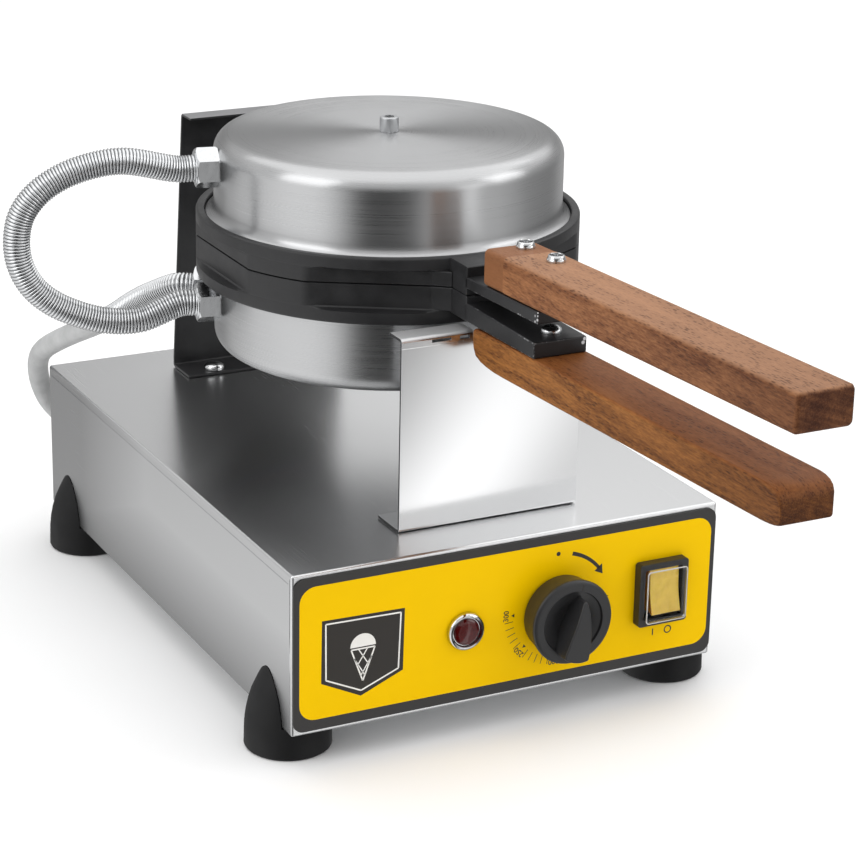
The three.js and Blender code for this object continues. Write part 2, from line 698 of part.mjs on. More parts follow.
/** A tubular heater bent into most of a ring. */
function heater(z) {
  const radius = 62;
  const points = [];
  for (let i = 0; i <= 16; i += 1) {
    const angle = THREE.MathUtils.degToRad(110 + (320 * i) / 16);
    points.push(vector(radius * Math.cos(angle), HEAD_Y + radius * Math.sin(angle), z));
  }
  return tubeAlong(points, 3.6, 6, 20);
}

function heaterCover(from, to) {
  const disc = bar("z", [0, HEAD_Y, 0], 82, from, to, COARSE);
  return disc.subtract(bar("z", [0, HEAD_Y, 0], 10, from - 1, to + 1, 12));
}

const knuckle = (x0, x1) => bar("x", [0, HINGE_Y, PARTING], KNUCKLE_RADIUS, x0, x1, 24);
const pinBore = bar("x", [0, HINGE_Y, PARTING], 3.6, -40, 40, 16);
const PARTING_GAP = 0.15; // each plate stops this far from the parting plane

// ---------------------------------------------------------------- baking head: lower half, on the flip shaft

const CROSSBAR_FRONT = HINGE_Y + 9;
const CROSSBAR_BACK = CROSSBAR_FRONT + 10;
const LOWER_FACE = PARTING - PARTING_GAP;
const UPPER_FACE = PARTING + PARTING_GAP;
const LUG_ROOT = HEAD_Y - 101.6; // inside the ring's lip
const PLATE_BACK = 8; // thickness of the plates behind the baking faces

/** A plate's turned body: a rim, a recess for the pan's foot, and a recessed baking face. */
function plateBody(face, ledge, rim, up) {
  const seat = rim - up * 3.4;
  const back = face + up * PLATE_BACK;
  const profile = [
    [0, face + up * BAKING_RECESS],
    [BAKING_RADIUS, face + up * BAKING_RECESS],
    [BAKING_RADIUS, face],
    [PLATE_RADIUS, face],
    [PLATE_RADIUS, rim - up * 1],
    [PLATE_RADIUS - 1, rim],
    [DOME_RADIUS + 5, rim],
    [DOME_RADIUS + 5, seat],
    [DOME_RADIUS - 2, seat],
    [DOME_RADIUS - 2, back],
    [0, back],
  ];
  const body = turned("z", [0, HEAD_Y, 0], profile, ROUND);
  const boss = bar("z", [0, HEAD_Y, 0], 7.5, Math.min(back - up, back + up * 22),
    Math.max(back - up, back + up * 22), 16);
  const screwHole = bar("z", [0, HEAD_Y, 0], SHANK_HOLE, Math.min(back + up * 3, back + up * 23),
    Math.max(back + up * 3, back + up * 23), SCREW_SIDES);
  const banded = cut(body, flats(Math.min(face - up, ledge), Math.max(face - up, ledge)));
  return banded.add(boss).subtract(screwHole).subtract(grooves(face + up * BAKING_RECESS, up));
}

/** The lug of the lower plate: a root against the ring and a long tongue over the lower handle. */
function lowerLug() {
  const profile = outline([
    [LUG_ROOT, LOWER_FACE],
    [-152, LOWER_FACE],
    [-152, 228],
    [-223, 228],
    [-223, 219.6],
    [-152, 218.2],
    [LUG_ROOT, 218.2],
  ]);
  const bore = bar("z", [HANDLE_SCREW.x, HANDLE_SCREW.y, 0], SHANK_HOLE, 210, 235, SCREW_SIDES);
  return prism("yz", profile, -LUG_HALF, LUG_HALF).subtract(bore);
}

const HANDLE_SCREW = { x: 2, y: -210 };

function lowerPlate() {
  const arms = [-1, 1].map((side) => {
    const [x0, x1] = side < 0 ? [-24, -12.6] : [12.6, 24];
    return joined([
      knuckle(x0, x1),
      block(x0, x1, 62, HINGE_Y, 224.5, LOWER_FACE),
      block(x0, x1, HINGE_Y, CROSSBAR_FRONT + 1, 224.5, 239.5),
    ]);
  });
  const crossbar = block(-24, 24, CROSSBAR_FRONT, CROSSBAR_BACK, PARTING - 14, PARTING + 10);
  const shaftHole = bar("y", [0, 0, PARTING], SHAFT_RADIUS + 0.4, CROSSBAR_FRONT - 1,
    CROSSBAR_BACK + 1, 20);
  const body = plateBody(LOWER_FACE, LOWER_LEDGE, LOWER_RIM, -1);
  return joined([body, lowerLug(), ...arms, crossbar]).subtract(shaftHole).subtract(pinBore);
}

const LOWER_BACK = LOWER_FACE - PLATE_BACK;
const lowerHoles = [
  fittingHole(FITTINGS.lower_hose_fitting),
  fittingHole(FITTINGS.feed_hose_fitting),
  bar("z", [0, HEAD_Y, 0], SHANK_HOLE, LOWER_DOME_BOTTOM - 2, LOWER_DOME_BOTTOM + 3, SCREW_SIDES),
];
const lowerSeat = LOWER_RIM + 3.4 - GAP;

piece("lower_plate", lowerPlate(), "cast");
piece("lower_dome", dome(lowerSeat, LOWER_DOME_BOTTOM, -1, lowerHoles), "spun");
piece("lower_dome_screw", capScrew(0, HEAD_Y, LOWER_DOME_BOTTOM - GAP, -1), "zinc");
piece("lower_element", heater(LOWER_BACK - 4), "dark");
piece("lower_element_cover", heaterCover(LOWER_BACK - 10, LOWER_BACK - 8.5), "zinc");
piece("lower_insulation", heaterCover(LOWER_BACK - 19, LOWER_BACK - 10.3), "wool");
piece("thermostat_bulb", bar("x", [0, HEAD_Y + 30, LOWER_BACK - 3.3], 3, -32, 32, 10), "zinc");
piece("lower_hose_fitting", hoseFitting(FITTINGS.lower_hose_fitting), "zinc");
piece("feed_hose_fitting", hoseFitting(FITTINGS.feed_hose_fitting), "zinc");

/** A wooden handle: a tapering outline in Y and Z with all its edges rounded over. */
function handle(points, halfWidth, round) {
  const rounded = new THREE.ExtrudeGeometry(outline(points), {
    depth: 2 * (halfWidth - round),
    bevelThickness: round,
    bevelSize: round,
    bevelOffset: -round,
    bevelSegments: 2,
  });
  rounded.translate(0, 0, round - halfWidth);
  return solid(rounded.applyMatrix4(PLANES.yz));
}

const lowerHandleTop = (y) => 219.2 + (-223 - y) * 0.0355;
const lowerHandleBottom = (y) => 199.6 + (-183 - y) * 0.034;

function lowerHandle() {
  const [rear, front] = [-158, -437];
  const shape = handle([
    [rear, lowerHandleTop(rear) - 3],
    [rear - 3, lowerHandleTop(rear - 3)],
    [front + 6, lowerHandleTop(front)],
    [front + 1.5, lowerHandleTop(front) - 3.5],
    [front, (lowerHandleTop(front) + lowerHandleBottom(front)) / 2],
    [front + 2.5, lowerHandleBottom(front) + 3.5],
    [front + 8, lowerHandleBottom(front)],
    [rear - 24, lowerHandleBottom(rear - 24)],
    [rear - 12, lowerHandleBottom(rear) + 1.5],
    [rear - 4, lowerHandleBottom(rear) + 6],
    [rear, lowerHandleBottom(rear) + 12],
  ], LUG_HALF, 3);
  return shape.subtract(bar("z", [HANDLE_SCREW.x, HANDLE_SCREW.y, 0], SHANK_HOLE, 206, 225,
    SCREW_SIDES));
}

piece("lower_handle", lowerHandle(), "wood");
piece("lower_handle_screw", panScrew(HANDLE_SCREW.x, HANDLE_SCREW.y, 228 + GAP, 5.4, 3.6, 20), "zinc");

const SHAFT_BACK = 162;
piece("flip_shaft", bar("y", [0, 0, PARTING], SHAFT_RADIUS, CROSSBAR_FRONT, SHAFT_BACK, 20), "zinc");

function shaftNut() {
  const [from, to] = [BRACKET.back + 5.5, BRACKET.back + 13];
  const hexagon = bar("y", [0, 0, PARTING], 13.8, from, to, 6);
  return hexagon.subtract(bar("y", [0, 0, PARTING], SHAFT_RADIUS + GAP + 0.1, from - 1, to + 1, 20));
}

piece("shaft_nut", shaftNut(), "zinc");
piece("hinge_pin", bar("x", [0, HINGE_Y, PARTING], 3, -26, 26, 16), "zinc");

// ---------------------------------------------------------------- baking head: upper half, on the hinge

const UPPER_BACK = UPPER_FACE + PLATE_BACK;
const CROWN_NUTS = [[4, -178], [4, -209]];
const UPPER_HANDLE_REAR = -170;
const upperHandleTop = (y) => 261.8 + (UPPER_HANDLE_REAR - y) * 0.042;
const upperHandleBottom = (y) => 245.2 + (UPPER_HANDLE_REAR - y) * 0.037;

/** The lug of the upper plate: a root as high as the rim and a lower, longer tongue. */
function upperLug() {
  const profile = outline([
    [LUG_ROOT, UPPER_RIM],
    [-152, UPPER_RIM],
    [-152, upperHandleBottom(-152) - GAP],
    [-231, upperHandleBottom(-231) - 1.2],
    [-231, 239.6],
    [-152, 235.6],
    [-152, UPPER_FACE],
    [LUG_ROOT, UPPER_FACE],
  ]);
  const bores = CROWN_NUTS.map(([x, y]) => bar("z", [x, y, 0], SHANK_HOLE, 225, 255, SCREW_SIDES));
  return cut(prism("yz", profile, -LUG_HALF, LUG_HALF), bores);
}

function upperPlate() {
  const arm = block(-12, 12, 62, HINGE_Y, UPPER_FACE, 239.5);
  const body = plateBody(UPPER_FACE, UPPER_LEDGE, UPPER_RIM, 1);
  return joined([body, upperLug(), arm, knuckle(-12, 12)]).subtract(pinBore);
}

const upperHoles = [
  fittingHole(FITTINGS.upper_hose_fitting),
  bar("z", [0, HEAD_Y, 0], SHANK_HOLE, UPPER_DOME_TOP - 3, UPPER_DOME_TOP + 2, SCREW_SIDES),
];

piece("upper_plate", upperPlate(), "cast");
piece("upper_dome", dome(UPPER_RIM - 3.4 + GAP, UPPER_DOME_TOP, 1, upperHoles), "spun");
piece("upper_dome_screw", capScrew(0, HEAD_Y, UPPER_DOME_TOP + GAP, 1), "zinc");
piece("upper_element", heater(UPPER_BACK + 4), "dark");
piece("upper_element_cover", heaterCover(UPPER_BACK + 8.5, UPPER_BACK + 10), "zinc");
piece("upper_insulation", heaterCover(UPPER_BACK + 10.3, UPPER_BACK + 19), "wool");
piece("upper_hose_fitting", hoseFitting(FITTINGS.upper_hose_fitting), "zinc");

function upperHandle() {
  const [rear, front] = [UPPER_HANDLE_REAR, HANDLE_FRONT];
  const shape = handle([
    [rear, upperHandleTop(rear)],
    [front, upperHandleTop(front)],
    [front, upperHandleBottom(front)],
    [rear, upperHandleBottom(rear)],
  ], LUG_HALF + 0.8, 1.6);
  const bores = CROWN_NUTS.map(([x, y]) => bar("z", [x, y, 0], SHANK_HOLE, 230, 280, SCREW_SIDES));
  return cut(shape, bores);
}

piece("upper_handle", upperHandle(), "wood");
CROWN_NUTS.forEach(([x, y], i) => {
  piece(`crown_nut_${["rear", "front"][i]}`, crownNut(x, y, upperHandleTop(y) + 0.6), "zinc");
});

// ---------------------------------------------------------------- flexible hoses

/** The middle of a fitting's outer face, moved out by some distance. */
function fittingMouth(name, out) {
  const place = FITTINGS[name];
  const angle = THREE.MathUtils.degToRad(place.angle);
  const radius = DOME_RADIUS + 0.4 + FITTING_LENGTH + out;
  return vector(radius * Math.cos(angle), HEAD_Y + radius * Math.sin(angle), place.z);
}

const loopRoute = [
  fittingMouth("upper_hose_fitting", GAP),
  fittingMouth("upper_hose_fitting", 10),
  vector(-143, -2, 279.6),
  vector(-161, 2, 277.4),
  vector(-176, 5, 272),
  vector(-188, 7, 264),
  vector(-196, 9, 253),
  vector(-199, 9.5, 240),
  vector(-198, 9, 227),
  vector(-192, 8, 214),
  vector(-182.5, 6, 204.5),
  vector(-169, 3.5, 197),
  vector(-153, 0, 192),
  vector(-135, -3.5, 191.5),
  fittingMouth("lower_hose_fitting", 9),
  fittingMouth("lower_hose_fitting", GAP),
];

const feedRoute = [
  fittingMouth("feed_hose_fitting", GAP),
  fittingMouth("feed_hose_fitting", 9),
  vector(-108, 45, 190),
  vector(-113, 63, 180),
  vector(-118, 82, 167.5),
  vector(-123, 102, 156),
  vector(-128, 124, 145),
  vector(-131, 147, 133.5),
  vector(-131.5, 168, 122.5),
  vector(-129, 187, 110.5),
  vector(-125, 201, 97),
  vector(-120, 210, 84),
  vector(-114, 213.5, 72),
  vector(-106, 212, 62.5),
  vector(-99, 205, 58.4),
  vector(FEED_GLAND.x, BACK + 11 + 6, FEED_GLAND.z),
  vector(FEED_GLAND.x, BACK + 11 + GAP, FEED_GLAND.z),
];

piece("loop_hose", tubeAlong(loopRoute, HOSE_RADIUS, 8, 26), "hose");
piece("feed_hose", tubeAlong(feedRoute, FEED_HOSE_RADIUS, 8, 26), "hosePale");

machine.position.y = CENTRE_SHIFT;

export default machine;
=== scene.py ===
import contextlib
import math

import bmesh
import bpy
import numpy as np
from mathutils import Matrix, Vector

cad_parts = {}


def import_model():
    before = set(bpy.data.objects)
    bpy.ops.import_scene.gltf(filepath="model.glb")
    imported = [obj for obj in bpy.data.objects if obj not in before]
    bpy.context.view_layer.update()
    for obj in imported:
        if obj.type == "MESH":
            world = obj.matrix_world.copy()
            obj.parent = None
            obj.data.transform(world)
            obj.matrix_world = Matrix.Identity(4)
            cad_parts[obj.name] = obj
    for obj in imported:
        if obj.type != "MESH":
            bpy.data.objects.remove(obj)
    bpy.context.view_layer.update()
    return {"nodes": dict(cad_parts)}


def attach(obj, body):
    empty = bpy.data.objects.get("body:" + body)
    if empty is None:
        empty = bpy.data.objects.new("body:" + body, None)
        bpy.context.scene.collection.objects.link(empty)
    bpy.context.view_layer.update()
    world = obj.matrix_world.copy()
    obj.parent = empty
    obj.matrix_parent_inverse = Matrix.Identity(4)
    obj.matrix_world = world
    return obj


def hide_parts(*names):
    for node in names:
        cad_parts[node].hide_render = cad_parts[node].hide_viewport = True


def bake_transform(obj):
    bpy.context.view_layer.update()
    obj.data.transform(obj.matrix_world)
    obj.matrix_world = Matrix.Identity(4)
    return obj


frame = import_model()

# Lengths below are millimetres from the middle of the base's footprint, as in the part's source.
SHIFT = 125.0  # from there to the frame's origin, along Y

FRONT = -180.6
BACK = 180.6
BASE_TOP = 107.3
LABEL_FRONT = -181.6
LAMP = (-27.0, 0, 60.6)
DIAL = (28.4, 0, 61.2)
SWITCH = (89.7, 0, 63.2)
HEAD_Y = -29.7
HEAD = (0, HEAD_Y, 0)
PARTING = 232.0
SHAFT = (0, 0, PARTING)
HINGE = (0, 84.0, PARTING)
UPPER_FACE = PARTING + 0.15
LOWER_FACE = PARTING - 0.15
PLATE_RADIUS = 104.8
FLAT_APOTHEM = 98.5
DOME_RADIUS = 95.1
STAND_X, STAND_HALF, STAND_FRONT, STAND_TOP = 1.4, 52.6, -151.7, 213.0
BRACKET_BACK, BRACKET_TOP = 147.2, 264.4
SHEET = 1.5
SCREW_HOLE = 3.1
STAND_SCREWS = {"left": STAND_X - 36, "right": STAND_X + 36}
HOUSING_SCREWS = {"left": -19.4, "right": 19.4}
BRACKET_BOLTS = {"left": -37.5, "right": 37.5}
BRACKET_BOLT_Y = 129.5
CUTOUT = (20, 0, 46)


def at(x, y, z):
    return Vector((x / 1000, (y + SHIFT) / 1000, z / 1000))


# ---------------------------------------------------------------- camera

def place_camera():
    yaw, pitch, roll = (math.radians(a) for a in (27.06, 19.82, 1.09))
    ahead = Vector((math.sin(yaw) * math.cos(pitch), math.cos(yaw) * math.cos(pitch), -math.sin(pitch)))
    level = ahead.cross(Vector((0, 0, 1))).normalized()
    above = level.cross(ahead)
    right = math.cos(roll) * level + math.sin(roll) * above
    up = -math.sin(roll) * level + math.cos(roll) * above
    data = bpy.data.cameras.new("camera")
    data.sensor_width = 36
    data.lens = 115.36
    data.shift_x = 0.004
    data.shift_y = -0.004
    camera = bpy.data.objects.new("camera", data)
    bpy.context.scene.collection.objects.link(camera)
    turn = Matrix((right, up, -ahead)).transposed()
    camera.matrix_world = Matrix.Translation(Vector((-0.63926, -1.20422, 0.64256))) @ turn.to_4x4()
    bpy.context.scene.camera = camera


place_camera()

# ---------------------------------------------------------------- mesh helpers

@contextlib.contextmanager
def edited(mesh):
    """A mesh opened for editing, and written back afterwards."""
    bm = bmesh.new()
    bm.from_mesh(mesh)
    yield bm
    bm.to_mesh(mesh)
    bm.free()


def mesh_of(*shells):
    """One mesh from closed shells, each (points in mm, faces)."""
    points = []
    faces = []
    for shell_points, shell_faces in shells:
        start = len(points)
        points += [at(*p) for p in shell_points]
        faces += [[start + i for i in face] for face in shell_faces]
    mesh = bpy.data.meshes.new("shape")
    mesh.from_pydata(points, [], faces)
    with edited(mesh) as bm:
        bmesh.ops.recalc_face_normals(bm, faces=bm.faces)
    return mesh


AXES = {  # a point from two coordinates across an axis and one along it
    "x": lambda u, v, w: (w, u, v),
    "y": lambda u, v, w: (u, w, v),
    "z": lambda u, v, w: (u, v, w),
}


def turned(profile, centre, axis="z", sides=96, shape=None):
    """A profile of (radius, place along the axis), turned; shape may change a row's radius by angle."""
    points = []
    rows = []
    for k, (radius, along) in enumerate(profile):
        if radius < 1e-6:
            rows.append([len(points)])
            points.append(AXES[axis](0, 0, along))
            continue
        row = []
        for i in range(sides):
            angle = 2 * math.pi * i / sides
            r = shape(k, angle, radius) if shape else radius
            row.append(len(points))
            points.append(AXES[axis](r * math.cos(angle), r * math.sin(angle), along))
        rows.append(row)
    if len(rows[0]) > 1 and profile[0] != profile[-1]:
        rows.append(rows[0])
    elif profile[0] == profile[-1]:
        points = points[:len(points) - len(rows[-1])]
        rows[-1] = rows[0]
    faces = []
    for a, b in zip(rows, rows[1:]):
        for i in range(sides):
            j = (i + 1) % sides
            corners = [a[i % len(a)], a[j % len(a)], b[j % len(b)], b[i % len(b)]]
            kept = []
            for c in corners:
                if c not in kept:
                    kept.append(c)
            if len(kept) > 2:
                faces.append(kept)
    return [tuple(p + c for p, c in zip(point, centre)) for point in points], faces


def loft(*rings):
    """A closed shell through rings with the same number of points."""
    n = len(rings[0])
    last = (len(rings) - 1) * n
    faces = [list(range(n))[::-1], list(range(last, last + n))]
    for row in range(0, last, n):
        faces += [[row + i, row + (i + 1) % n, row + n + (i + 1) % n, row + n + i] for i in range(n)]
    return [point for ring in rings for point in ring], faces


def prism(outline, axis, low, high):
    """A flat outline carried from low to high along an axis."""
    return loft([AXES[axis](u, v, low) for u, v in outline], [AXES[axis](u, v, high) for u, v in outline])


def rod(radius, low, high, centre=(0, 0, 0), axis="z", sides=32):
    """A plain round bar along an axis."""
    return turned([(0, low), (radius, low), (radius, high), (0, high)], centre, axis, sides)


def block(x0, x1, y0, y1, z0, z1):
    return prism([(x0, y0), (x1, y0), (x1, y1), (x0, y1)], "z", z0, z1)


def arc(cu, cv, radius, begin, end, steps):
    """Points along an arc, between two angles in degrees."""
    found = []
    for i in range(steps + 1):
        angle = math.radians(begin + (end - begin) * i / steps)
        found.append((cu + radius * math.cos(angle), cv + radius * math.sin(angle)))
    return found


def rounded_rectangle(u0, u1, v0, v1, radius, steps=8):
    return (arc(u1 - radius, v0 + radius, radius, -90, 0, steps)
            + arc(u1 - radius, v1 - radius, radius, 0, 90, steps)
            + arc(u0 + radius, v1 - radius, radius, 90, 180, steps)
            + arc(u0 + radius, v0 + radius, radius, 180, 270, steps))


def spun(points, degrees):
    """Flat points turned about their origin."""
    c, s = math.cos(math.radians(degrees)), math.sin(math.radians(degrees))
    return [(c * u - s * v, s * u + c * v) for u, v in points]


def placed(name, data):
    """A new object in the scene."""
    made = bpy.data.objects.new(name, data)
    bpy.context.scene.collection.objects.link(made)
    return made


def eased(mesh, width, segments=2, angle=35, chosen=None):
    """The mesh with its sharp edges rounded over; chosen limits which edges, by their two ends in mm."""
    with edited(mesh) as bm:
        bmesh.ops.dissolve_limit(bm, angle_limit=math.radians(1.0), verts=bm.verts, edges=bm.edges)
        edges = []
        for edge in bm.edges:
            if len(edge.link_faces) != 2 or edge.calc_face_angle(0) < math.radians(angle):
                continue
            ends = [Vector((v.co.x * 1000, v.co.y * 1000 - SHIFT, v.co.z * 1000)) for v in edge.verts]
            if chosen is None or chosen(*ends):
                edges.append(edge)
        bmesh.ops.bevel(bm, geom=edges, offset=width / 1000, segments=segments, profile=0.5,
                        affect="EDGES", clamp_overlap=True)
    return mesh


def carved(mesh, cutters, operation="DIFFERENCE"):
    """The mesh after a boolean with each cutter, a mesh or a closed shell, in turn."""
    body = placed("carved", mesh)
    tools = []
    for cutter in cutters:
        tool = placed("cutter", cutter if isinstance(cutter, bpy.types.Mesh) else mesh_of(cutter))
        tools.append(tool)
        boolean = body.modifiers.new("cut", "BOOLEAN")
        boolean.operation = operation
        boolean.solver = "EXACT"
        boolean.object = tool
    bpy.context.view_layer.update()
    graph = bpy.context.evaluated_depsgraph_get()
    result = bpy.data.meshes.new_from_object(body.evaluated_get(graph))
    for made in [body, *tools]:
        bpy.data.objects.remove(made)
    return result


def node_mesh(node):
    """A copy of a CAD node's mesh, welded, without its materials."""
    mesh = frame["nodes"][node].data.copy()
    mesh.materials.clear()
    with edited(mesh) as bm:
        bmesh.ops.remove_doubles(bm, verts=bm.verts, dist=1e-6)
    return mesh


def smooth(mesh, angle):
    mesh.shade_smooth()
    mesh.set_sharp_from_angle(angle=math.radians(angle))


def show(name, mesh, body, material, slot, nodes=(), weighted=True, angle=32):
    """Puts a mesh in the scene as a piece that rides on a body, in place of some CAD nodes."""
    smooth(mesh, angle)
    mesh.materials.clear()
    mesh.materials.append(material)
    made = placed(name, mesh)
    if weighted:
        normals = made.modifiers.new("normals", "WEIGHTED_NORMAL")
        normals.keep_sharp = True
    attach(made, body)
    if nodes:
        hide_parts(*nodes)
    return made


def show_turned(name, profile, centre, axis, sides, *where, **options):
    """A turned piece; the rest is passed on to show."""
    return show(name, mesh_of(turned(profile, centre, axis, sides)), *where, **options)


# ---------------------------------------------------------------- materials

class Nodes:
    """A node tree, with short ways to add the nodes that the finishes and the studio share."""

    def __init__(self, tree):
        self.tree = tree

    def feed(self, socket, value):
        """Gives a socket a value or another node's output."""
        if isinstance(value, bpy.types.NodeSocket):
            self.tree.links.new(value, socket)
        else:
            socket.default_value = value

    def add(self, kind, values=None, **settings):
        made = self.tree.nodes.new(kind)
        for key, value in settings.items():
            setattr(made, key, value)
        for key, value in (values or {}).items():
            self.feed(made.inputs[key], value)
        return made

    def combined(self, **parts):
        """A vector from its parts by name, such as X=..."""
        return self.add("ShaderNodeCombineXYZ", parts).outputs[0]

    def math(self, operation, a, b=0.0, clamp=False):
        return self.add("ShaderNodeMath", {0: a, 1: b}, operation=operation, use_clamp=clamp).outputs[0]

    def ramp(self, source, stops, interpolation="LINEAR"):
        """Colours by value; stops are (position, (r, g, b))."""
        made = self.add("ShaderNodeValToRGB", {"Fac": source})
        made.color_ramp.interpolation = interpolation
        elements = made.color_ramp.elements
        while len(elements) < len(stops):
            elements.new(0.5)
        for element, (position, colour) in zip(elements, stops):
            element.position = position
            element.color = (*colour, 1.0)
        return made.outputs[0]

    def span(self, source, low, high, to_low=0.0, to_high=1.0, interpolation="LINEAR"):
        """A value carried from one range to another, without going past its ends."""
        return self.add("ShaderNodeMapRange", {"Value": source, 1: low, 2: high, 3: to_low, 4: to_high},
                        interpolation_type=interpolation).outputs[0]

    def mixed(self, factor, a, b, blend="MIX"):
        a, b = (c if isinstance(c, bpy.types.NodeSocket) else (*c, 1.0) for c in (a, b))
        return self.add("ShaderNodeMix", {0: factor, 6: a, 7: b}, data_type="RGBA",
                        blend_type=blend).outputs[2]


class Look(Nodes):
    """A material on the Principled shader; other sockets are named with underscores for spaces."""

    def __init__(self, name, colour, roughness, metallic=0.0, **sockets):
        self.material = bpy.data.materials.new(name)
        self.material.use_nodes = True
        super().__init__(self.material.node_tree)
        self.shader = self.tree.nodes["Principled BSDF"]
        self.place = self.add("ShaderNodeTexCoord").outputs["Object"]
        self.set("Base Color", (*colour, 1.0))
        self.set("Roughness", roughness)
        self.set("Metallic", metallic)
        for key, value in sockets.items():
            self.set(key.replace("_", " "), value)

    def set(self, socket, value):
        self.feed(self.shader.inputs[socket], value)

    def times(self, a, b, clamp=False):
        return self.math("MULTIPLY", a, b, clamp)

    def plus(self, a, b):
        return self.math("ADD", a, b)

    def minus(self, a, b):
        return self.math("SUBTRACT", a, b)

    def stretched(self, scale):
        """Coordinates scaled differently along each axis, in repeats per metre."""
        return self.add("ShaderNodeMapping", {"Vector": self.place, "Scale": scale}).outputs[0]

    def noise(self, vector, detail=4.0, roughness=0.55, distortion=0.0):
        return self.add("ShaderNodeTexNoise", {"Vector": vector, "Scale": 1.0, "Detail": detail,
                        "Roughness": roughness, "Distortion": distortion}).outputs[0]

    def grain(self, scale, detail, roughness=0.55):
        return self.noise(self.stretched(scale), detail, roughness)

    def bump(self, height, distance, strength=1.0):
        self.set("Normal", self.add("ShaderNodeBump", {"Height": height, "Distance": distance,
                                    "Strength": strength}).outputs[0])

    def xyz(self, source=None):
        return self.add("ShaderNodeSeparateXYZ", {0: source or self.place}).outputs

    def facing(self):
        """The three parts of the surface's direction."""
        return self.xyz(self.add("ShaderNodeTexCoord").outputs["Normal"])


def tint(colour, by):
    """A colour made lighter or darker by a factor."""
    return tuple(min(1.0, c * by) for c in colour)


def metres_back(y):
    """A place along Y in the frame's metres."""
    return (y + SHIFT) / 1000


def brushed_sheet(name, grain, colour, rough, anisotropy):
    """Sheet steel with fine parallel brushing along the axis whose entry in grain is small."""
    look = Look(name, colour, 0.3, 1.0)
    fine = look.noise(look.stretched(grain), 6.0, 0.7)
    broad = look.grain((9, 5, 9), 3.0)
    streaks = look.plus(look.times(fine, 0.65), look.times(broad, 0.35))
    look.set("Anisotropic", anisotropy)
    along = grain.index(min(grain))
    look.set("Tangent", look.combined(**{"XYZ"[along]: 1.0}))
    tone = look.ramp(fine, [(0.25, tint(colour, 0.99)), (0.75, tint(colour, 1.01))])
    return look, fine, look.span(streaks, 0.3, 0.7, *rough), tone


def cover_steel():
    """The base's cover, with painted shade on its sides: darker towards their foot and towards the rear."""
    look, fine, rough, tone = brushed_sheet("steel_cover", (2400, 22, 2400), (0.66, 0.663, 0.668),
                                            (0.25, 0.28), 0.6)
    _, y, z = look.xyz()
    # painted shade: the sides' colour is pulled towards black near their foot and towards the rear, standing
    # in for darker reflections there
    low = look.span(z, 0.02, 0.074, 0.42, 1.0)
    rear = look.span(y, metres_back(125), metres_back(20), 0.56, 1.0)
    across = look.math("ABSOLUTE", look.facing()[0])
    painted_shade_low_rear = look.minus(1.0, look.math("MINIMUM", low, rear))
    side = look.times(look.span(across, 0.6, 0.9), painted_shade_low_rear)
    look.set("Base Color", look.mixed(side, tone, (0.0, 0.0, 0.0)))
    look.set("Roughness", rough)
    look.bump(fine, 0.00001, 0.1)
    return look.material


def stand_steel():
    """The front stand: a face that bulges a little on the slant, a matt top, and rougher cut edges painted
    near black as shade.
    """
    look, fine, rough, tone = brushed_sheet("steel_stand", (2200, 2200, 20), (0.8, 0.803, 0.808),
                                            (0.15, 0.18), 0.3)
    x, _, z = look.xyz()
    ridge = look.minus(look.minus(x, z), -0.158)
    top = look.span(z, (STAND_TOP - 1.6) / 1000, (STAND_TOP - 0.8) / 1000)
    # painted shade: the cut edges, which face along X, are coloured near black as well as made rougher
    edge = look.math("ABSOLUTE", look.facing()[0])
    cut = look.span(edge, 0.75, 0.95)
    look.set("Base Color", look.mixed(cut, tone, (0.07, 0.07, 0.072)))
    look.set("Roughness", look.math("MAXIMUM", rough, look.times(look.math("MAXIMUM", top, cut), 0.6)))
    look.bump(look.times(look.times(ridge, ridge), -0.26), 1.0)
    return look.material


def spun_steel(name, colour=(0.46, 0.463, 0.468), rough=0.3):
    """Steel brushed in rings about the head's axis."""
    look = Look(name, colour, rough, 1.0)
    x, y, z = look.xyz()
    dy = look.minus(y, metres_back(HEAD_Y))
    radius = look.math("SQRT", look.plus(look.times(x, x), look.times(dy, dy)))
    rings = look.combined(X=look.times(radius, 2600.0), Y=look.times(z, 2600.0), Z=look.times(x, 3.0))
    fine = look.noise(rings, 5.0, 0.7)
    broad = look.grain((14, 14, 14), 3.0)
    look.set("Roughness", look.plus(look.span(fine, 0.3, 0.7, rough - 0.05, rough + 0.06),
                                    look.span(broad, 0.35, 0.65, -0.02, 0.03)))
    look.set("Base Color", look.ramp(fine, [(0.25, tint(colour, 0.97)), (0.75, tint(colour, 1.02))]))
    look.set("Anisotropic", 0.85)
    look.set("Anisotropic Rotation", 0.25)
    look.set("Tangent", look.add("ShaderNodeTangent", direction_type="RADIAL", axis="Z").outputs[0])
    look.bump(fine, 0.00001, 0.25)
    return look.material


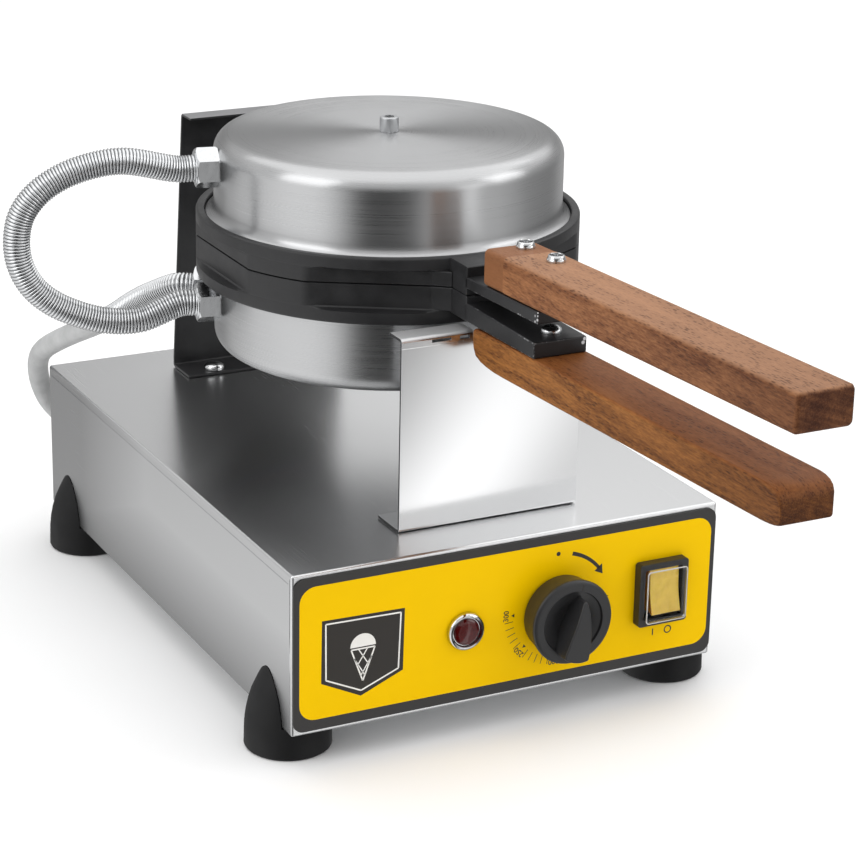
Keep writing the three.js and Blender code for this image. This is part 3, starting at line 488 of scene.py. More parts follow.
def coated_black(name, colour=(0.022, 0.022, 0.024), rough=(0.34, 0.5), grain=1400.0, depth=0.00006, wear=0.0,
                 highlight_painted_above=None, specular=0.5, chips=()):
    """A black coated casting or sheet with a fine skin, bare metal where its edges have worn, and, when
    asked, a painted highlight that makes faces above a height lighter and more metallic.
    """
    look = Look(name, colour, 0.45, 0.0, Specular_IOR_Level=specular)
    skin = look.grain((grain, grain, grain), 3.0, 0.6)
    patches = look.grain((60, 60, 60), 4.0, 0.6)
    look.set("Roughness", look.span(patches, 0.3, 0.7, *rough))
    tone = look.ramp(patches, [(0.3, tint(colour, 0.8)), (0.75, tint(colour, 1.4))])
    if wear:
        edge = look.span(look.add("ShaderNodeNewGeometry").outputs["Pointiness"], 0.56, 0.66)
        flecks = look.span(look.grain((300, 300, 300), 5.0, 0.7), 0.54, 0.68, 0.0, wear)
        lugs = look.span(look.xyz()[1], metres_back(-150), metres_back(-160))
        worn = look.times(look.times(edge, flecks), lugs)
        for x, y, z, size in chips:
            away = look.add("ShaderNodeVectorMath", {0: look.place, 1: at(x, y, z)}, operation="DISTANCE")
            rough_edge = look.times(flecks, 0.0006)
            from_edge = look.minus(away.outputs["Value"], rough_edge)
            spot = look.span(from_edge, size / 1000 * 0.7, size / 1000, 1.0, 0.0)
            worn = look.math("MAXIMUM", worn, spot)
        tone = look.mixed(worn, tone, (0.62, 0.62, 0.63))
        look.set("Metallic", worn)
    # painted highlight: above the given height the coat is made lighter and more metallic, standing in for
    # the bright reflection on a flange's top face
    if highlight_painted_above is not None:
        painted_highlight = look.span(look.xyz()[2], (highlight_painted_above - 0.3) / 1000, (highlight_painted_above + 0.1) / 1000, 0.0, 0.75)
        tone = look.mixed(painted_highlight, tone, (0.34, 0.34, 0.35))
        look.set("Metallic", look.times(painted_highlight, 0.7))
    look.set("Base Color", tone)
    look.bump(skin, depth, 0.6)
    return look.material


def bright_metal(name, colour=(0.66, 0.67, 0.68), rough=(0.14, 0.3), scale=500.0):
    """Plated or polished metal with faint handling marks."""
    look = Look(name, colour, 0.22, 1.0)
    marks = look.grain((scale, scale, scale * 0.3), 5.0, 0.65)
    look.set("Roughness", look.span(marks, 0.3, 0.7, *rough))
    look.set("Base Color", look.ramp(marks, [(0.2, tint(colour, 0.86)), (0.8, tint(colour, 1.06))]))
    look.bump(marks, 0.00002, 0.3)
    return look.material


def wood(name, dark, light, painted_top_tone, smooth_end=None):
    """Steamed beech with its grain along Y: soft bands, short dark pores, and a top face in a separate tone,
    painted light on the upper handle and painted shade on the lower one.
    """
    look = Look(name, light, 0.5, 0.0, Specular_IOR_Level=0.18)
    wavy = look.grain((14, 4.5, 14), 3.0, 0.5)
    sway = look.combined(X=look.times(wavy, 6.0), Z=look.times(wavy, 5.0))
    shifted = look.add("ShaderNodeVectorMath", {0: look.stretched((95, 5.5, 95)), 1: sway},
                       operation="ADD").outputs[0]
    bands = look.noise(shifted, 7.0, 0.62, 0.6)
    fibre = look.grain((1300, 170, 1300), 4.0, 0.7)
    grain = look.plus(look.times(bands, 0.55), look.times(fibre, 0.45))
    tone = look.ramp(grain, [(0.39, dark), (0.5, tuple((a + b) / 2 for a, b in zip(dark, light))),
                             (0.61, light)])
    pore_cells = look.add("ShaderNodeTexVoronoi", {"Vector": look.stretched((820, 190, 820)), "Scale": 1.0,
                          "Randomness": 1.0}).outputs["Distance"]
    clusters = look.span(bands, 0.42, 0.56, 1.0, 0.25)
    pores = look.times(look.span(pore_cells, 0.2, 0.42, 1.0, 0.0), clusters, clamp=True)
    _, fore, up = look.facing()
    # painted light and shade: the top face is mixed towards its own tone, lighter on the upper handle, which
    # faces the ceiling, darker on the lower handle, which lies under the upper one
    tone = look.mixed(look.span(up, 0.3, 0.9, 0.0, 0.55), tone, painted_top_tone)
    handled = look.span(look.xyz()[1], metres_back(-446), metres_back(-260), 0.72, 0.0)
    tone = look.mixed(look.times(handled, look.span(up, 0.2, 0.8, 1.0, 0.3)), tone, (0.42, 0.34, 0.26),
                      "MULTIPLY")
    x, _, z = look.xyz()
    slanted = look.combined(X=look.plus(look.times(z, 380.0), look.times(x, 150.0)), Y=look.times(x, 25.0))
    year_rings = look.span(look.noise(slanted, 2.0), 0.4, 0.6, 0.3, 0.8)
    at_end = look.span(look.math("ABSOLUTE", fore), 0.4, 0.95)
    tone = look.mixed(look.times(at_end, year_rings), tone, (0.4, 0.31, 0.25), "MULTIPLY")
    tone = look.mixed(look.times(pores, 0.75), tone, tint(dark, 0.5))
    rough = look.span(grain, 0.3, 0.7, 0.58, 0.42)
    if smooth_end is not None:
        inside = look.span(look.xyz()[1], metres_back(smooth_end - 0.4), metres_back(smooth_end + 0.4),
                           0.0, 0.85)
        plain = look.mixed(fibre, tint(light, 0.8), tint(light, 0.95))
        tone = look.mixed(inside, tone, look.mixed(0.5, plain, dark))
    look.set("Base Color", tone)
    look.set("Roughness", rough)
    look.bump(look.minus(look.times(fibre, 0.3), pores), 0.00012, 0.6)
    return look.material


def moulded(name, colour, rough=(0.35, 0.5), grain=900.0, depth=0.00003, variation=0.08, **sockets):
    """Moulded plastic, rubber or ceramic with a fine skin and slight unevenness."""
    look = Look(name, colour, rough[0], 0.0, **sockets)
    skin = look.grain((grain, grain, grain), 3.0, 0.55)
    patches = look.grain((40, 40, 40), 3.0)
    look.set("Roughness", look.span(patches, 0.3, 0.7, *rough))
    look.set("Base Color", look.ramp(patches, [(0.3, tint(colour, 1 - variation)),
                                               (0.7, tint(colour, 1 + variation))]))
    look.bump(skin, depth, 0.5)
    return look.material


def amber():
    """Tinted see-through moulding: bright yellow on its face, browner on its flanks where it is thick."""
    look = Look("rocker_amber", (0.74, 0.49, 0.03), 0.2, 0.0, Coat_Weight=0.4, Subsurface_Weight=0.1,
                Subsurface_Scale=0.003)
    ripple = look.grain((260, 260, 260), 3.0, 0.55)
    _, fore, _ = look.facing()
    face = look.ramp(ripple, [(0.3, (0.66, 0.42, 0.025)), (0.7, (0.80, 0.55, 0.05))])
    look.set("Base Color", look.mixed(look.span(look.math("ABSOLUTE", fore), 0.3, 0.8, 0.9, 0.0), face,
                                      (0.42, 0.13, 0.01)))
    look.set("Roughness", look.span(ripple, 0.3, 0.7, 0.16, 0.28))
    look.bump(ripple, 0.0001, 0.5)
    return look.material


def corrugated(name, colour, rough, groove_shade):
    """Bright interlocked strip with fine scuffs; painted shade darkens the bottom of each groove, where the
    mesh is hollow.
    """
    look = Look(name, colour, rough, 1.0)
    scuffs = look.grain((700, 700, 700), 4.0, 0.7)
    # painted shade: hollow places, found by pointiness, are mixed towards a dark colour
    hollows = look.span(look.add("ShaderNodeNewGeometry").outputs["Pointiness"], 0.44, 0.52)
    bright = look.ramp(scuffs, [(0.25, tint(colour, 0.9)), (0.7, colour)])
    look.set("Base Color", look.mixed(hollows, groove_shade, bright))
    look.set("Roughness", look.span(scuffs, 0.3, 0.7, rough - 0.08, rough + 0.1))
    look.bump(scuffs, 0.00002, 0.4)
    return look.material


def sleeve(name):
    """A pale grey plastic sleeve with a satin skin and a few dark specks."""
    look = Look(name, (0.62, 0.63, 0.63), 0.4, 0.0, Coat_Weight=0.15)
    specks = look.span(look.grain((420, 420, 420), 2.0), 0.72, 0.76, 0.0, 0.8)
    soft = look.grain((90, 90, 90), 4.0)
    tone = look.ramp(soft, [(0.3, (0.38, 0.385, 0.385)), (0.7, (0.50, 0.505, 0.505))])
    look.set("Base Color", look.mixed(specks, tone, (0.08, 0.08, 0.08)))
    look.set("Roughness", look.span(soft, 0.3, 0.7, 0.34, 0.5))
    look.bump(soft, 0.0001, 0.4)
    return look.material


STEEL_COVER = cover_steel()
STEEL_STAND = stand_steel()
SPUN = spun_steel("spun_pan")
CHIPS = [(13.6, -223, 226.7, 1.0), (12.8, -223, 224.9, 1.1), (-15, -226, 244.6, 0.9), (-15, -226, 242.6, 0.7),
         (-15, -225.8, 240.6, 0.8), (-15, -223.6, 238.9, 0.7), (-15, -223.4, 242.2, 0.6),
         (-15, -206.5, 237.9, 0.8), (-15, -208.5, 238.0, 0.7)]
CAST = coated_black("cast_black", (0.015, 0.015, 0.016), wear=0.8, specular=0.4, chips=CHIPS)
# the rear bracket's top flange gets a painted highlight above 264.2 mm
SHEET_BLACK = coated_black("sheet_black", (0.02, 0.02, 0.021), (0.28, 0.42), 700.0, 0.00004,
                           highlight_painted_above=264.2)
ZINC = bright_metal("bright_zinc")
DULL_ZINC = bright_metal("dull_zinc", (0.5, 0.51, 0.52), (0.3, 0.5), 260.0)
CHROME = bright_metal("chrome", (0.62, 0.625, 0.63), (0.03, 0.09), 400.0)
BRONZE = bright_metal("bronze", (0.42, 0.25, 0.1), (0.3, 0.5), 900.0)
RUBBER = moulded("rubber", (0.007, 0.007, 0.0075), (0.5, 0.7), 1200.0, 0.00006, Specular_IOR_Level=0.25)
BLACK_PLASTIC = moulded("black_plastic", (0.018, 0.018, 0.019), (0.32, 0.46), 1500.0, 0.00004)
YELLOW = moulded("label_yellow", (0.91, 0.56, 0.0), (0.3, 0.4), 1100.0, 0.00001, 0.012,
                 Specular_IOR_Level=0.05)
LABEL_BLACK = moulded("label_black", (0.025, 0.023, 0.022), (0.34, 0.46), 1100.0, 0.00002)
PRINT_BLACK = moulded("print_black", (0.02, 0.016, 0.012), (0.4, 0.5), 1300.0, 0.00001)
PRINT_WHITE = moulded("print_white", (0.85, 0.84, 0.8), (0.4, 0.5), 1300.0, 0.00001)
# the colour before the last number is the top face's painted tone: painted light on the upper handle, painted
# shade on the lower
WOOD_UPPER = wood("wood_upper", (0.13, 0.042, 0.015), (0.36, 0.155, 0.062), (0.42, 0.228, 0.128), -190.5)
WOOD_LOWER = wood("wood_lower", (0.10, 0.03, 0.006), (0.36, 0.14, 0.03), (0.27, 0.09, 0.028))
HOSE = corrugated("hose_steel", (0.66, 0.67, 0.68), 0.24, (0.15, 0.15, 0.155))
SLEEVE = sleeve("hose_sleeve")
LENS = moulded("lens_red", (0.09, 0.002, 0.002), (0.04, 0.1), 200.0, 0.00001, Coat_Weight=0.35,
               Specular_IOR_Level=0.25, Transmission_Weight=0.35)
GLOW_RED = moulded("lamp_glow", (0.3, 0.007, 0.006), (0.3, 0.4), 500.0, 0.00002)
AMBER = amber()
CLEAR = moulded("clear_cover", (0.99, 0.99, 0.98), (0.02, 0.05), 90.0, 0.00002, Transmission_Weight=1.0,
                IOR=1.12)
CLEAR_EDGE = moulded("clear_edge", (0.97, 0.97, 0.95), (0.1, 0.2), 90.0, 0.00002, Transmission_Weight=0.6,
                     IOR=1.45)
RED_PLASTIC = moulded("red_plastic", (0.5, 0.015, 0.01), (0.25, 0.4))
CERAMIC = moulded("ceramic", (0.76, 0.75, 0.7), (0.2, 0.4), 300.0)
WOOL = moulded("mineral_wool", (0.66, 0.6, 0.48), (0.85, 0.95), 420.0, 0.0009)
SHEATH = bright_metal("heater_sheath", (0.16, 0.155, 0.14), (0.4, 0.6), 200.0)


# ---------------------------------------------------------------- hoses

FITTINGS = {"upper_hose_fitting": (168, 273.3), "lower_hose_fitting": (168, 198.4),
            "feed_hose_fitting": (150, 198.4)}


def fitting_mouth(name, out):
    angle, z = FITTINGS[name]
    reach = DOME_RADIUS + 0.4 + 11 + out
    return (reach * math.cos(math.radians(angle)), HEAD_Y + reach * math.sin(math.radians(angle)), z)


def smooth_path(knots, step):
    """Evenly spaced points along a centripetal Catmull-Rom curve through the knots, in mm."""
    p = [Vector(k) for k in knots]
    p = [2 * p[0] - p[1], *p, 2 * p[-1] - p[-2]]
    found = []
    for a, b, c, d in zip(p, p[1:], p[2:], p[3:]):
        t1 = (b - a).length ** 0.5
        t2 = t1 + (c - b).length ** 0.5
        t3 = t2 + (d - c).length ** 0.5
        for i in range(24):
            t = t1 + (t2 - t1) * i / 24
            ab = a + (b - a) * (t / t1)
            bc = b + (c - b) * ((t - t1) / (t2 - t1))
            cd = c + (d - c) * ((t - t2) / (t3 - t2))
            left = ab + (bc - ab) * (t / t2)
            right = bc + (cd - bc) * ((t - t1) / (t3 - t1))
            found.append(left + (right - left) * ((t - t1) / (t2 - t1)))
    found.append(p[-2])
    along = np.concatenate([[0], np.cumsum([(b - a).length for a, b in zip(found, found[1:])])])
    count = max(2, round(along[-1] / step))
    even = np.linspace(0, along[-1], count + 1)
    spots = np.array(found)
    return [Vector([np.interp(s, along, spots[:, k]) for k in range(3)]) for s in even], float(along[-1])


def tube(path, radius_at, sides):
    """A closed tube along evenly spaced points; radius_at gives the radius by point number."""
    rings = []
    ahead = (path[1] - path[0]).normalized()
    across = ahead.orthogonal().normalized()
    for k, centre in enumerate(path):
        turn = (path[min(k + 1, len(path) - 1)] - path[max(k - 1, 0)]).normalized()
        across = (across - turn * across.dot(turn)).normalized()
        other = turn.cross(across)
        spokes = [math.cos(angle) * across + math.sin(angle) * other
                  for angle in (2 * math.pi * i / sides for i in range(sides))]
        rings.append([tuple(centre + radius_at(k) * spoke) for spoke in spokes])
    return loft(*rings)


LOOP = [fitting_mouth("upper_hose_fitting", 0.3), fitting_mouth("upper_hose_fitting", 10),
        (-143, -2, 279.6), (-161, 2, 277.4), (-176, 5, 272), (-188, 7, 264), (-196, 9, 253),
        (-199, 9.5, 240), (-198, 9, 227), (-192, 8, 214), (-182.5, 6, 204.5), (-169, 3.5, 197),
        (-153, 0, 192), (-135, -3.5, 191.5), fitting_mouth("lower_hose_fitting", 9),
        fitting_mouth("lower_hose_fitting", 0.3)]
FEED = [fitting_mouth("feed_hose_fitting", 0.3), fitting_mouth("feed_hose_fitting", 9),
        (-108, 45, 190), (-113, 63, 180), (-118, 82, 167.5), (-123, 102, 156), (-128, 124, 145),
        (-131, 147, 133.5), (-131.5, 168, 122.5), (-129, 187, 110.5), (-125, 201, 97),
        (-120, 210, 84), (-114, 213.5, 72), (-106, 212, 62.5), (-99, 205, 58.4),
        (-95, BACK + 17, 58), (-95, BACK + 11.3, 58)]
RING = [0.0, 0.75, 1.0, 0.75]  # how far a ring of the hose stands out, at four places along it
RING_PITCH = 1.7


HOSE_SIDES = 28


def make_hose(name, knots, inner, outer, plain_from, node, finish, plain_radius=0.0):
    """A hose of fine rings; from plain_from millimetres on it is covered by a smooth sleeve."""
    step = RING_PITCH / 4
    path, length = smooth_path(knots, step)

    def radius_at(k):
        beyond = k * RING_PITCH / 4 - plain_from
        if beyond < 0:
            return inner + (outer - inner) * RING[k % 4]
        return plain_radius + 0.25 * math.exp(-beyond / 4)

    hose = mesh_of(tube(path, radius_at, HOSE_SIDES))
    hose.materials.append(finish[0])
    if len(finish) > 1:
        hose.materials.append(finish[1])
        limit = int(plain_from / step) * HOSE_SIDES
        for face in hose.polygons:
            face.material_index = 1 if min(face.vertices) >= limit else 0
    smooth(hose, 60)
    made = placed(name, hose)
    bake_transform(made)
    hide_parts(node)


make_hose("steel_loop_hose", LOOP, 6.4, 7.3, 1e9, "loop_hose", [HOSE])
make_hose("sleeved_feed_hose", FEED, 5.8, 6.5, 92.0, "feed_hose", [HOSE, SLEEVE],
          6.3)

# ---------------------------------------------------------------- fasteners

def pan_screw(x, y, surface, radius, height, slot=True):
    """A domed head with a cross recess, on a surface facing up."""
    profile = [(0, surface), (radius, surface), (radius, surface + height * 0.25)]
    profile += [(radius * math.cos(t), surface + height * (0.25 + 0.75 * math.sin(t)))
                for t in (0.3, 0.6, 0.9, 1.15, 1.35)]
    profile.append((0, surface + height))
    head = mesh_of(turned(profile, (x, y, 0), sides=48))
    if not slot:
        return head
    arm, bottom, top = radius * 0.5, surface + height * 0.5, surface + height + 1
    return carved(head, [block(x - u, x + u, y - v, y + v, bottom, top) for u,
                         v in ((arm, 0.55), (0.55, arm))])


def socket_cap(y, surface, up):
    """A socket cap screw with a knurled side, standing on a pan."""
    def knurl(k, angle, radius):
        return radius - (0.12 if radius > 5 and round(angle * 48 / math.pi) % 2 else 0)

    profile = [(0, surface), (5.2, surface), (5.2, surface + up * 6.8), (4.9, surface + up * 7.6),
               (4.4, surface + up * 8), (0, surface + up * 8)]
    head = mesh_of(turned(profile, (0, y, 0), sides=96, shape=knurl))
    ends = sorted((surface + up * 4, surface + up * 9))
    hexagon = [(2.9 * math.cos(math.radians(60 * k)), 2.9 * math.sin(math.radians(60 * k)) + y)
               for k in range(6)]
    return carved(head, [prism(hexagon, "z", *ends)])


def crown_nut(x, y, surface):
    """A low round nut with six rounded notches around a screw's end."""
    def crown(k, angle, radius):
        if k in (1, 2, 3):
            return radius - 0.9 * max(0.0, math.cos(6 * angle)) ** 6
        return radius

    nut = [(0, surface), (4.9, surface), (4.9, surface + 1.0), (4.7, surface + 1.5), (4.55, surface + 1.7),
           (4.4, surface + 2.3), (4.2, surface + 3.0), (3.9, surface + 3.4), (3.5, surface + 3.5),
           (3.25, surface + 3.2), (3.1, surface + 0.4), (0, surface + 0.3)]
    return mesh_of(turned(nut, (x, y, 0), sides=72, shape=crown))


def upright_hexagon(across, half_turn=False):
    start = 30 if half_turn else 0
    corner = across / math.sqrt(3)
    return [(corner * math.cos(math.radians(60 * k + start)), corner * math.sin(math.radians(60 * k + start)))
            for k in range(6)]


def hose_fitting(name):
    """A hexagon with turned chamfers and a short collar that the hose goes into."""
    angle, z = FITTINGS[name]
    begin, end = DOME_RADIUS - 0.6, DOME_RADIUS + 11.4
    hexagon = mesh_of(prism(upright_hexagon(19.4, True), "x", begin, end))
    cone = [(0, begin), (10.6, begin), (11.2, begin + 1), (11.2, end - 1), (10.0, end), (0, end)]
    chamfered = carved(hexagon, [turned(cone, (0, 0, 0), "x", 72)], "INTERSECT")
    collar = [(0, end - 1), (8.6, end - 1), (8.6, end + 0.2), (8.2, end + 0.6), (0, end + 0.6)]
    neck = mesh_of(turned(collar, (0, 0, 0), "x", 48))
    joined_mesh = merged([chamfered, neck])
    turn = Matrix.Rotation(math.radians(angle), 4, "Z")
    joined_mesh.transform(Matrix.Translation((0, -SHIFT / 1000, 0)))
    joined_mesh.transform(Matrix.Translation(at(0, HEAD_Y, z)) @ turn)
    return eased(joined_mesh, 0.25, 2, 40)


def merged(meshes):
    """Several meshes as one."""
    bm = bmesh.new()
    for mesh in meshes:
        bm.from_mesh(mesh)
    made = bpy.data.meshes.new("merged")
    bm.to_mesh(made)
    bm.free()
    return made


# ---------------------------------------------------------------- base

def outer_fold(a, b):
    """Whether an edge of the cover is one of its long outside folds."""
    if (a - b).length < 50:
        return False
    def outside(p):
        return (abs(p.x) > 124.9) + (abs(p.y) > 180.5) + (p.z > 107.2) >= 2
    return outside(a) and outside(b)


cover = eased(node_mesh("base_cover"), 2.4, 4, 60, outer_fold)
seams = [mesh_of(block(*sorted((side * 124.45, side * 126)), FRONT + 1.6, FRONT + 2.3, 10, 105.2))
         for side in (-1, 1)]
seams += [mesh_of(block(*sorted((side * 124.75, side * 126)), FRONT + 4, BACK - 4, 101.6, 102.2))
          for side in (-1, 1)]
cover = carved(cover, seams)
show("folded_base_cover", cover, "base", STEEL_COVER, "steel_sheet", ["base_cover"])


def foot(side_x, side_y):
    """A bell of rubber under a corner; what is inside the base's corner is cut away."""
    profile = [(0, 0), (21.4, 0), (22.6, 0.5), (23.2, 1.6), (23.1, 6), (22.9, 13), (22.2, 19), (21.0, 25),
               (19.2, 31), (17.0, 36), (14.6, 41), (12.4, 45), (10.6, 48), (8.6, 49), (0, 49)]
    bell = mesh_of(turned(profile, (side_x * 113.3, side_y * 150.4, 0), sides=96))
    corner = mesh_of(block(-125.3, 125.3, -185.6, 185.6, 18, 51))
    return eased(carved(bell, [corner]), 0.5, 2, 45)


for fore, side_y in (("front", -1), ("rear", 1)):
    for hand, side_x in (("left", -1), ("right", 1)):
        show(f"rubber_foot_{fore}_{hand}", foot(side_x, side_y), "base", RUBBER, "rubber_black",
             [f"foot_{fore}_{hand}"])

# ---------------------------------------------------------------- control panel

def printed(name, shells, material, level, thickness=0.05):
    """Flat print on the panel; each shell is an outline in X and Z."""
    face = LABEL_FRONT - level
    mesh = mesh_of(*[prism(outline, "y", face - thickness, face) for outline in shells])
    return show(name, mesh, "base", material, "label_yellow", weighted=False)


def panel_cutters():
    ahead, behind = LABEL_FRONT - 3.4, LABEL_FRONT + 3.6
    (x, _, z), half_width, half_height = SWITCH, 13.2, 15.8
    return [rod(8.8, ahead, behind, LAMP, "y", 64), rod(6, ahead, behind, DIAL, "y", 64),
            block(x - half_width, x + half_width, ahead, behind, z - half_height, z + half_height)]


plate = mesh_of(prism(rounded_rectangle(-124.3, 124.3, 20.6, 105, 6), "y", LABEL_FRONT, FRONT - 0.3))
show("label_border", eased(carved(plate, panel_cutters()), 0.15, 2, 60), "base", LABEL_BLACK, "label_yellow",
     ["panel_label"])
field = mesh_of(prism(rounded_rectangle(-121, 121.6, 26.6, 100.3, 9), "y", LABEL_FRONT - 0.06,
                                LABEL_FRONT))
show("label_field", carved(field, panel_cutters()), "base", YELLOW, "label_yellow", weighted=False)


def stroke(a, b, width):
    """A thin straight stroke between two points."""
    along = Vector((b[0] - a[0], b[1] - a[1])).normalized() * (width / 2)
    side = (-along.y, along.x)
    return [(a[0] - side[0], a[1] - side[1]), (b[0] - side[0], b[1] - side[1]),
            (b[0] + side[0], b[1] + side[1]), (a[0] + side[0], a[1] + side[1])]


SCALE = (27.2, 62.6)
DEGREES_AT_300 = 177.5
DEGREES_PER_TICK = 7.62
TICKS_PER_NUMBER = 6
SCALE_NUMBERS = (300, 250, 200, 150, 100)


def on_scale(radius, degrees):
    """A point on the printed scale, whose middle lies a little up and left of the spindle."""
    turn = math.radians(degrees)
    return (SCALE[0] + radius * math.cos(turn), SCALE[1] + radius * math.sin(turn))


def scale_marks():
    marks = [arc(27.4, 94.2, 1.2, 0, 345, 23)]
    for tick in range(TICKS_PER_NUMBER * (len(SCALE_NUMBERS) - 1) + 1):
        angle = DEGREES_AT_300 + tick * DEGREES_PER_TICK
        if tick % TICKS_PER_NUMBER:
            marks.append(stroke(on_scale(25.9, angle), on_scale(30.9, angle), 0.34))
        else:
            marks.append([on_scale(25.2, angle - 2.4), on_scale(27.0, angle), on_scale(25.2, angle + 2.4)])
    sweep = [on_scale(32.7, 74 - 36 * t / 12) for t in range(13)]
    sweep += [on_scale(30.9 - 0.4 * t / 12, 38 + 36 * t / 12) for t in range(13)]
    marks.append(sweep)
    marks.append([on_scale(34.6, 39), on_scale(28.8, 39), on_scale(31.7, 30)])
    return marks


printed("dial_scale_marks", scale_marks(), PRINT_BLACK, 0.06)


def number_mesh(text, size, degrees, radius):
    """A number on the scale with its top pointing away from the dial."""
    curve = bpy.data.curves.new("number", "FONT")
    curve.body = text
    curve.size = size / 1000
    curve.align_x = "CENTER"
    curve.align_y = "CENTER"
    curve.extrude = 0.00003
    curve.offset = 0.00004
    holder = placed("number", curve)
    bpy.context.view_layer.update()
    mesh = bpy.data.meshes.new_from_object(holder.evaluated_get(bpy.context.evaluated_depsgraph_get()))
    bpy.data.objects.remove(holder)
    x, z = on_scale(radius, degrees)
    upright = Matrix.Rotation(math.radians(90), 4, "X")
    turn = Matrix.Rotation(math.radians(degrees - 90), 4, "Z")
    mesh.transform(Matrix.Translation(at(x, LABEL_FRONT - 0.09, z)) @ upright @ turn)
    return mesh


numbers = [number_mesh(str(number), 4.3, DEGREES_AT_300 + k * TICKS_PER_NUMBER * DEGREES_PER_TICK, 29.9)
           for k, number in enumerate(SCALE_NUMBERS)]
show("dial_scale_numbers", merged(numbers), "base", PRINT_BLACK, "label_yellow", weighted=False)

SHIELD = [(-108.6, 80.6), (-108.9, 46), (-86.5, 35.1), (-62.6, 45.2), (-62, 79.7)]


def shrunk(outline, by):
    """The outline with every point moved towards its middle by a distance."""
    cu = sum(p[0] for p in outline) / len(outline)
    cv = sum(p[1] for p in outline) / len(outline)
    found = []
    for u, v in outline:
        away = math.hypot(u - cu, v - cv)
        found.append((u + (cu - u) * by / away, v + (cv - v) * by / away))
    return found


printed("badge_field", [SHIELD], PRINT_BLACK, 0.06)
inner = shrunk(SHIELD, 3.0)
rim = [stroke(a, b, 0.8) for a, b in zip(inner, inner[1:] + inner[:1])]
cone = [(-85.5, 43.4), (-92.2, 61.5), (-78.8, 61.5)]
lattice = [stroke((-92.2, 61.5), (-78.8, 61.5), 0.8), stroke((-92.2, 61.5), (-85.5, 43.4), 0.8),
           stroke((-78.8, 61.5), (-85.5, 43.4), 0.8), stroke((-88.0, 61.3), (-82.3, 52.3), 0.6),
           stroke((-83.0, 61.3), (-88.7, 52.3), 0.6), stroke((-90.4, 56.5), (-84.4, 46.5), 0.6),
           stroke((-80.6, 56.5), (-86.6, 46.5), 0.6)]
scoop = arc(-85.5, 62.6, 7.2, 0, 180, 20)
printed("badge_mark", rim + lattice + [scoop], PRINT_WHITE, 0.11)
on_mark = [stroke((87.6, 36.6), (87.6, 40.4), 0.7)]
ring = arc(97.0, 38.5, 2.0, 0, 360, 28)
off_mark = [stroke(a, b, 0.7) for a, b in zip(ring, ring[1:])]
printed("switch_marks", on_mark + off_mark, PRINT_BLACK, 0.06)

BEZEL_BACK = LABEL_FRONT - 0.3


def lamp_pieces():
    y = BEZEL_BACK
    bezel = [(7.5, y), (10.6, y), (10.6, y - 1.2), (10.3, y - 2.2), (9.7, y - 3.0), (9.0, y - 3.3),
             (8.4, y - 3.0), (8.0, y - 2.2), (7.7, y - 1.6), (7.5, y - 1.6), (7.5, y)]
    show_turned("lamp_bezel_ring", bezel, LAMP, "y", 96, "base", CHROME, "chrome_trim", ["lamp_bezel"])

    def facets(k, angle, radius):
        return radius - (0.35 * abs(math.sin(4 * angle)) if k in (3, 4) else 0)

    lens = [(0, y - 0.6), (7.4, y - 0.6), (7.4, y - 2.0), (6.6, y - 2.9), (5.2, y - 3.5), (0, y - 3.9)]
    show("lamp_lens_red", mesh_of(turned(lens, LAMP, "y", 64, facets)), "base", LENS, "lens_red",
         ["lamp_lens"])
    glow = [(0, y - 0.1), (7.2, y - 0.1), (7.2, y - 0.5), (0, y - 0.5)]
    show_turned("lamp_reflector", glow, (LAMP[0], 0, LAMP[2] - 0.1), "y", 48, "base", GLOW_RED, "lens_red")


lamp_pieces()


def knob_pieces():
    """A round skirt that widens to its face, a scooped middle, and a wedge grip that widens downwards."""
    back = LABEL_FRONT - 1.2
    face = back - 15.4
    skirt = [(0, back), (20.9, back), (21.4, back - 0.6), (22.0, back - 6), (23.2, back - 12),
             (23.5, back - 13.8), (23.1, back - 14.7), (22.2, back - 15.2), (21.0, face), (17.6, face),
             (17.3, face + 0.3), (17.1, face + 1.2), (16.7, face + 1.4), (12.5, face + 2.2),
             (8.0, face + 5.2), (0, face + 5.6)]
    left = [(-1.1, 14.2), (-2.8, 8.5), (-4.6, 1.0), (-6.4, -7.5), (-7.6, -14.5), (-7.8, -17.0)]
    rim_part = arc(0.6, 0, 19.4, 270 - 24, 270 + 24, 8)
    right = [(8.8, -17.0), (8.7, -14.0), (7.6, -6.0), (5.8, 2.0), (3.6, 9.0), (1.2, 14.2)]

    def on_face(points):
        return [(DIAL[0] + 1.0 + u, DIAL[2] + v) for u, v in spun(points, -12)]

    foot_line = left + rim_part + right
    drawn_in = [(u * 0.88, (v - 0.4) * 0.985) for u, v in foot_line]
    wedge = loft([(u, face + 6, w) for u, w in on_face(foot_line)],
                 [(u, back - 24.2 + 3.2 * max(0.0, v / 14.2) ** 1.5, w)
                  for (u, w), (_, v) in zip(on_face(drawn_in), drawn_in)])
    body = merged([mesh_of(turned(skirt, DIAL, "y", 144)), eased(mesh_of(wedge), 0.7, 3, 38)])
    show("dial_knob_body", body, "dial", BLACK_PLASTIC, "plastic_black", ["dial_knob"], angle=38)
    line = on_face([(-0.3, 17.8), (0.3, 17.8), (0.3, 21.2), (-0.3, 21.2)])
    show("dial_pointer_line", mesh_of(prism(line, "y", face - 0.06, face + 0.2)), "dial", PRINT_BLACK,
         "plastic_black", weighted=False)
    spindle = [(0, LABEL_FRONT - 19), (3, LABEL_FRONT - 19), (3, FRONT + 19.4), (2.4, FRONT + 20),
               (0, FRONT + 20)]
    show_turned("turned_dial_spindle", spindle, DIAL, "y", 48, "dial", ZINC, "zinc", ["dial_spindle"])


knob_pieces()


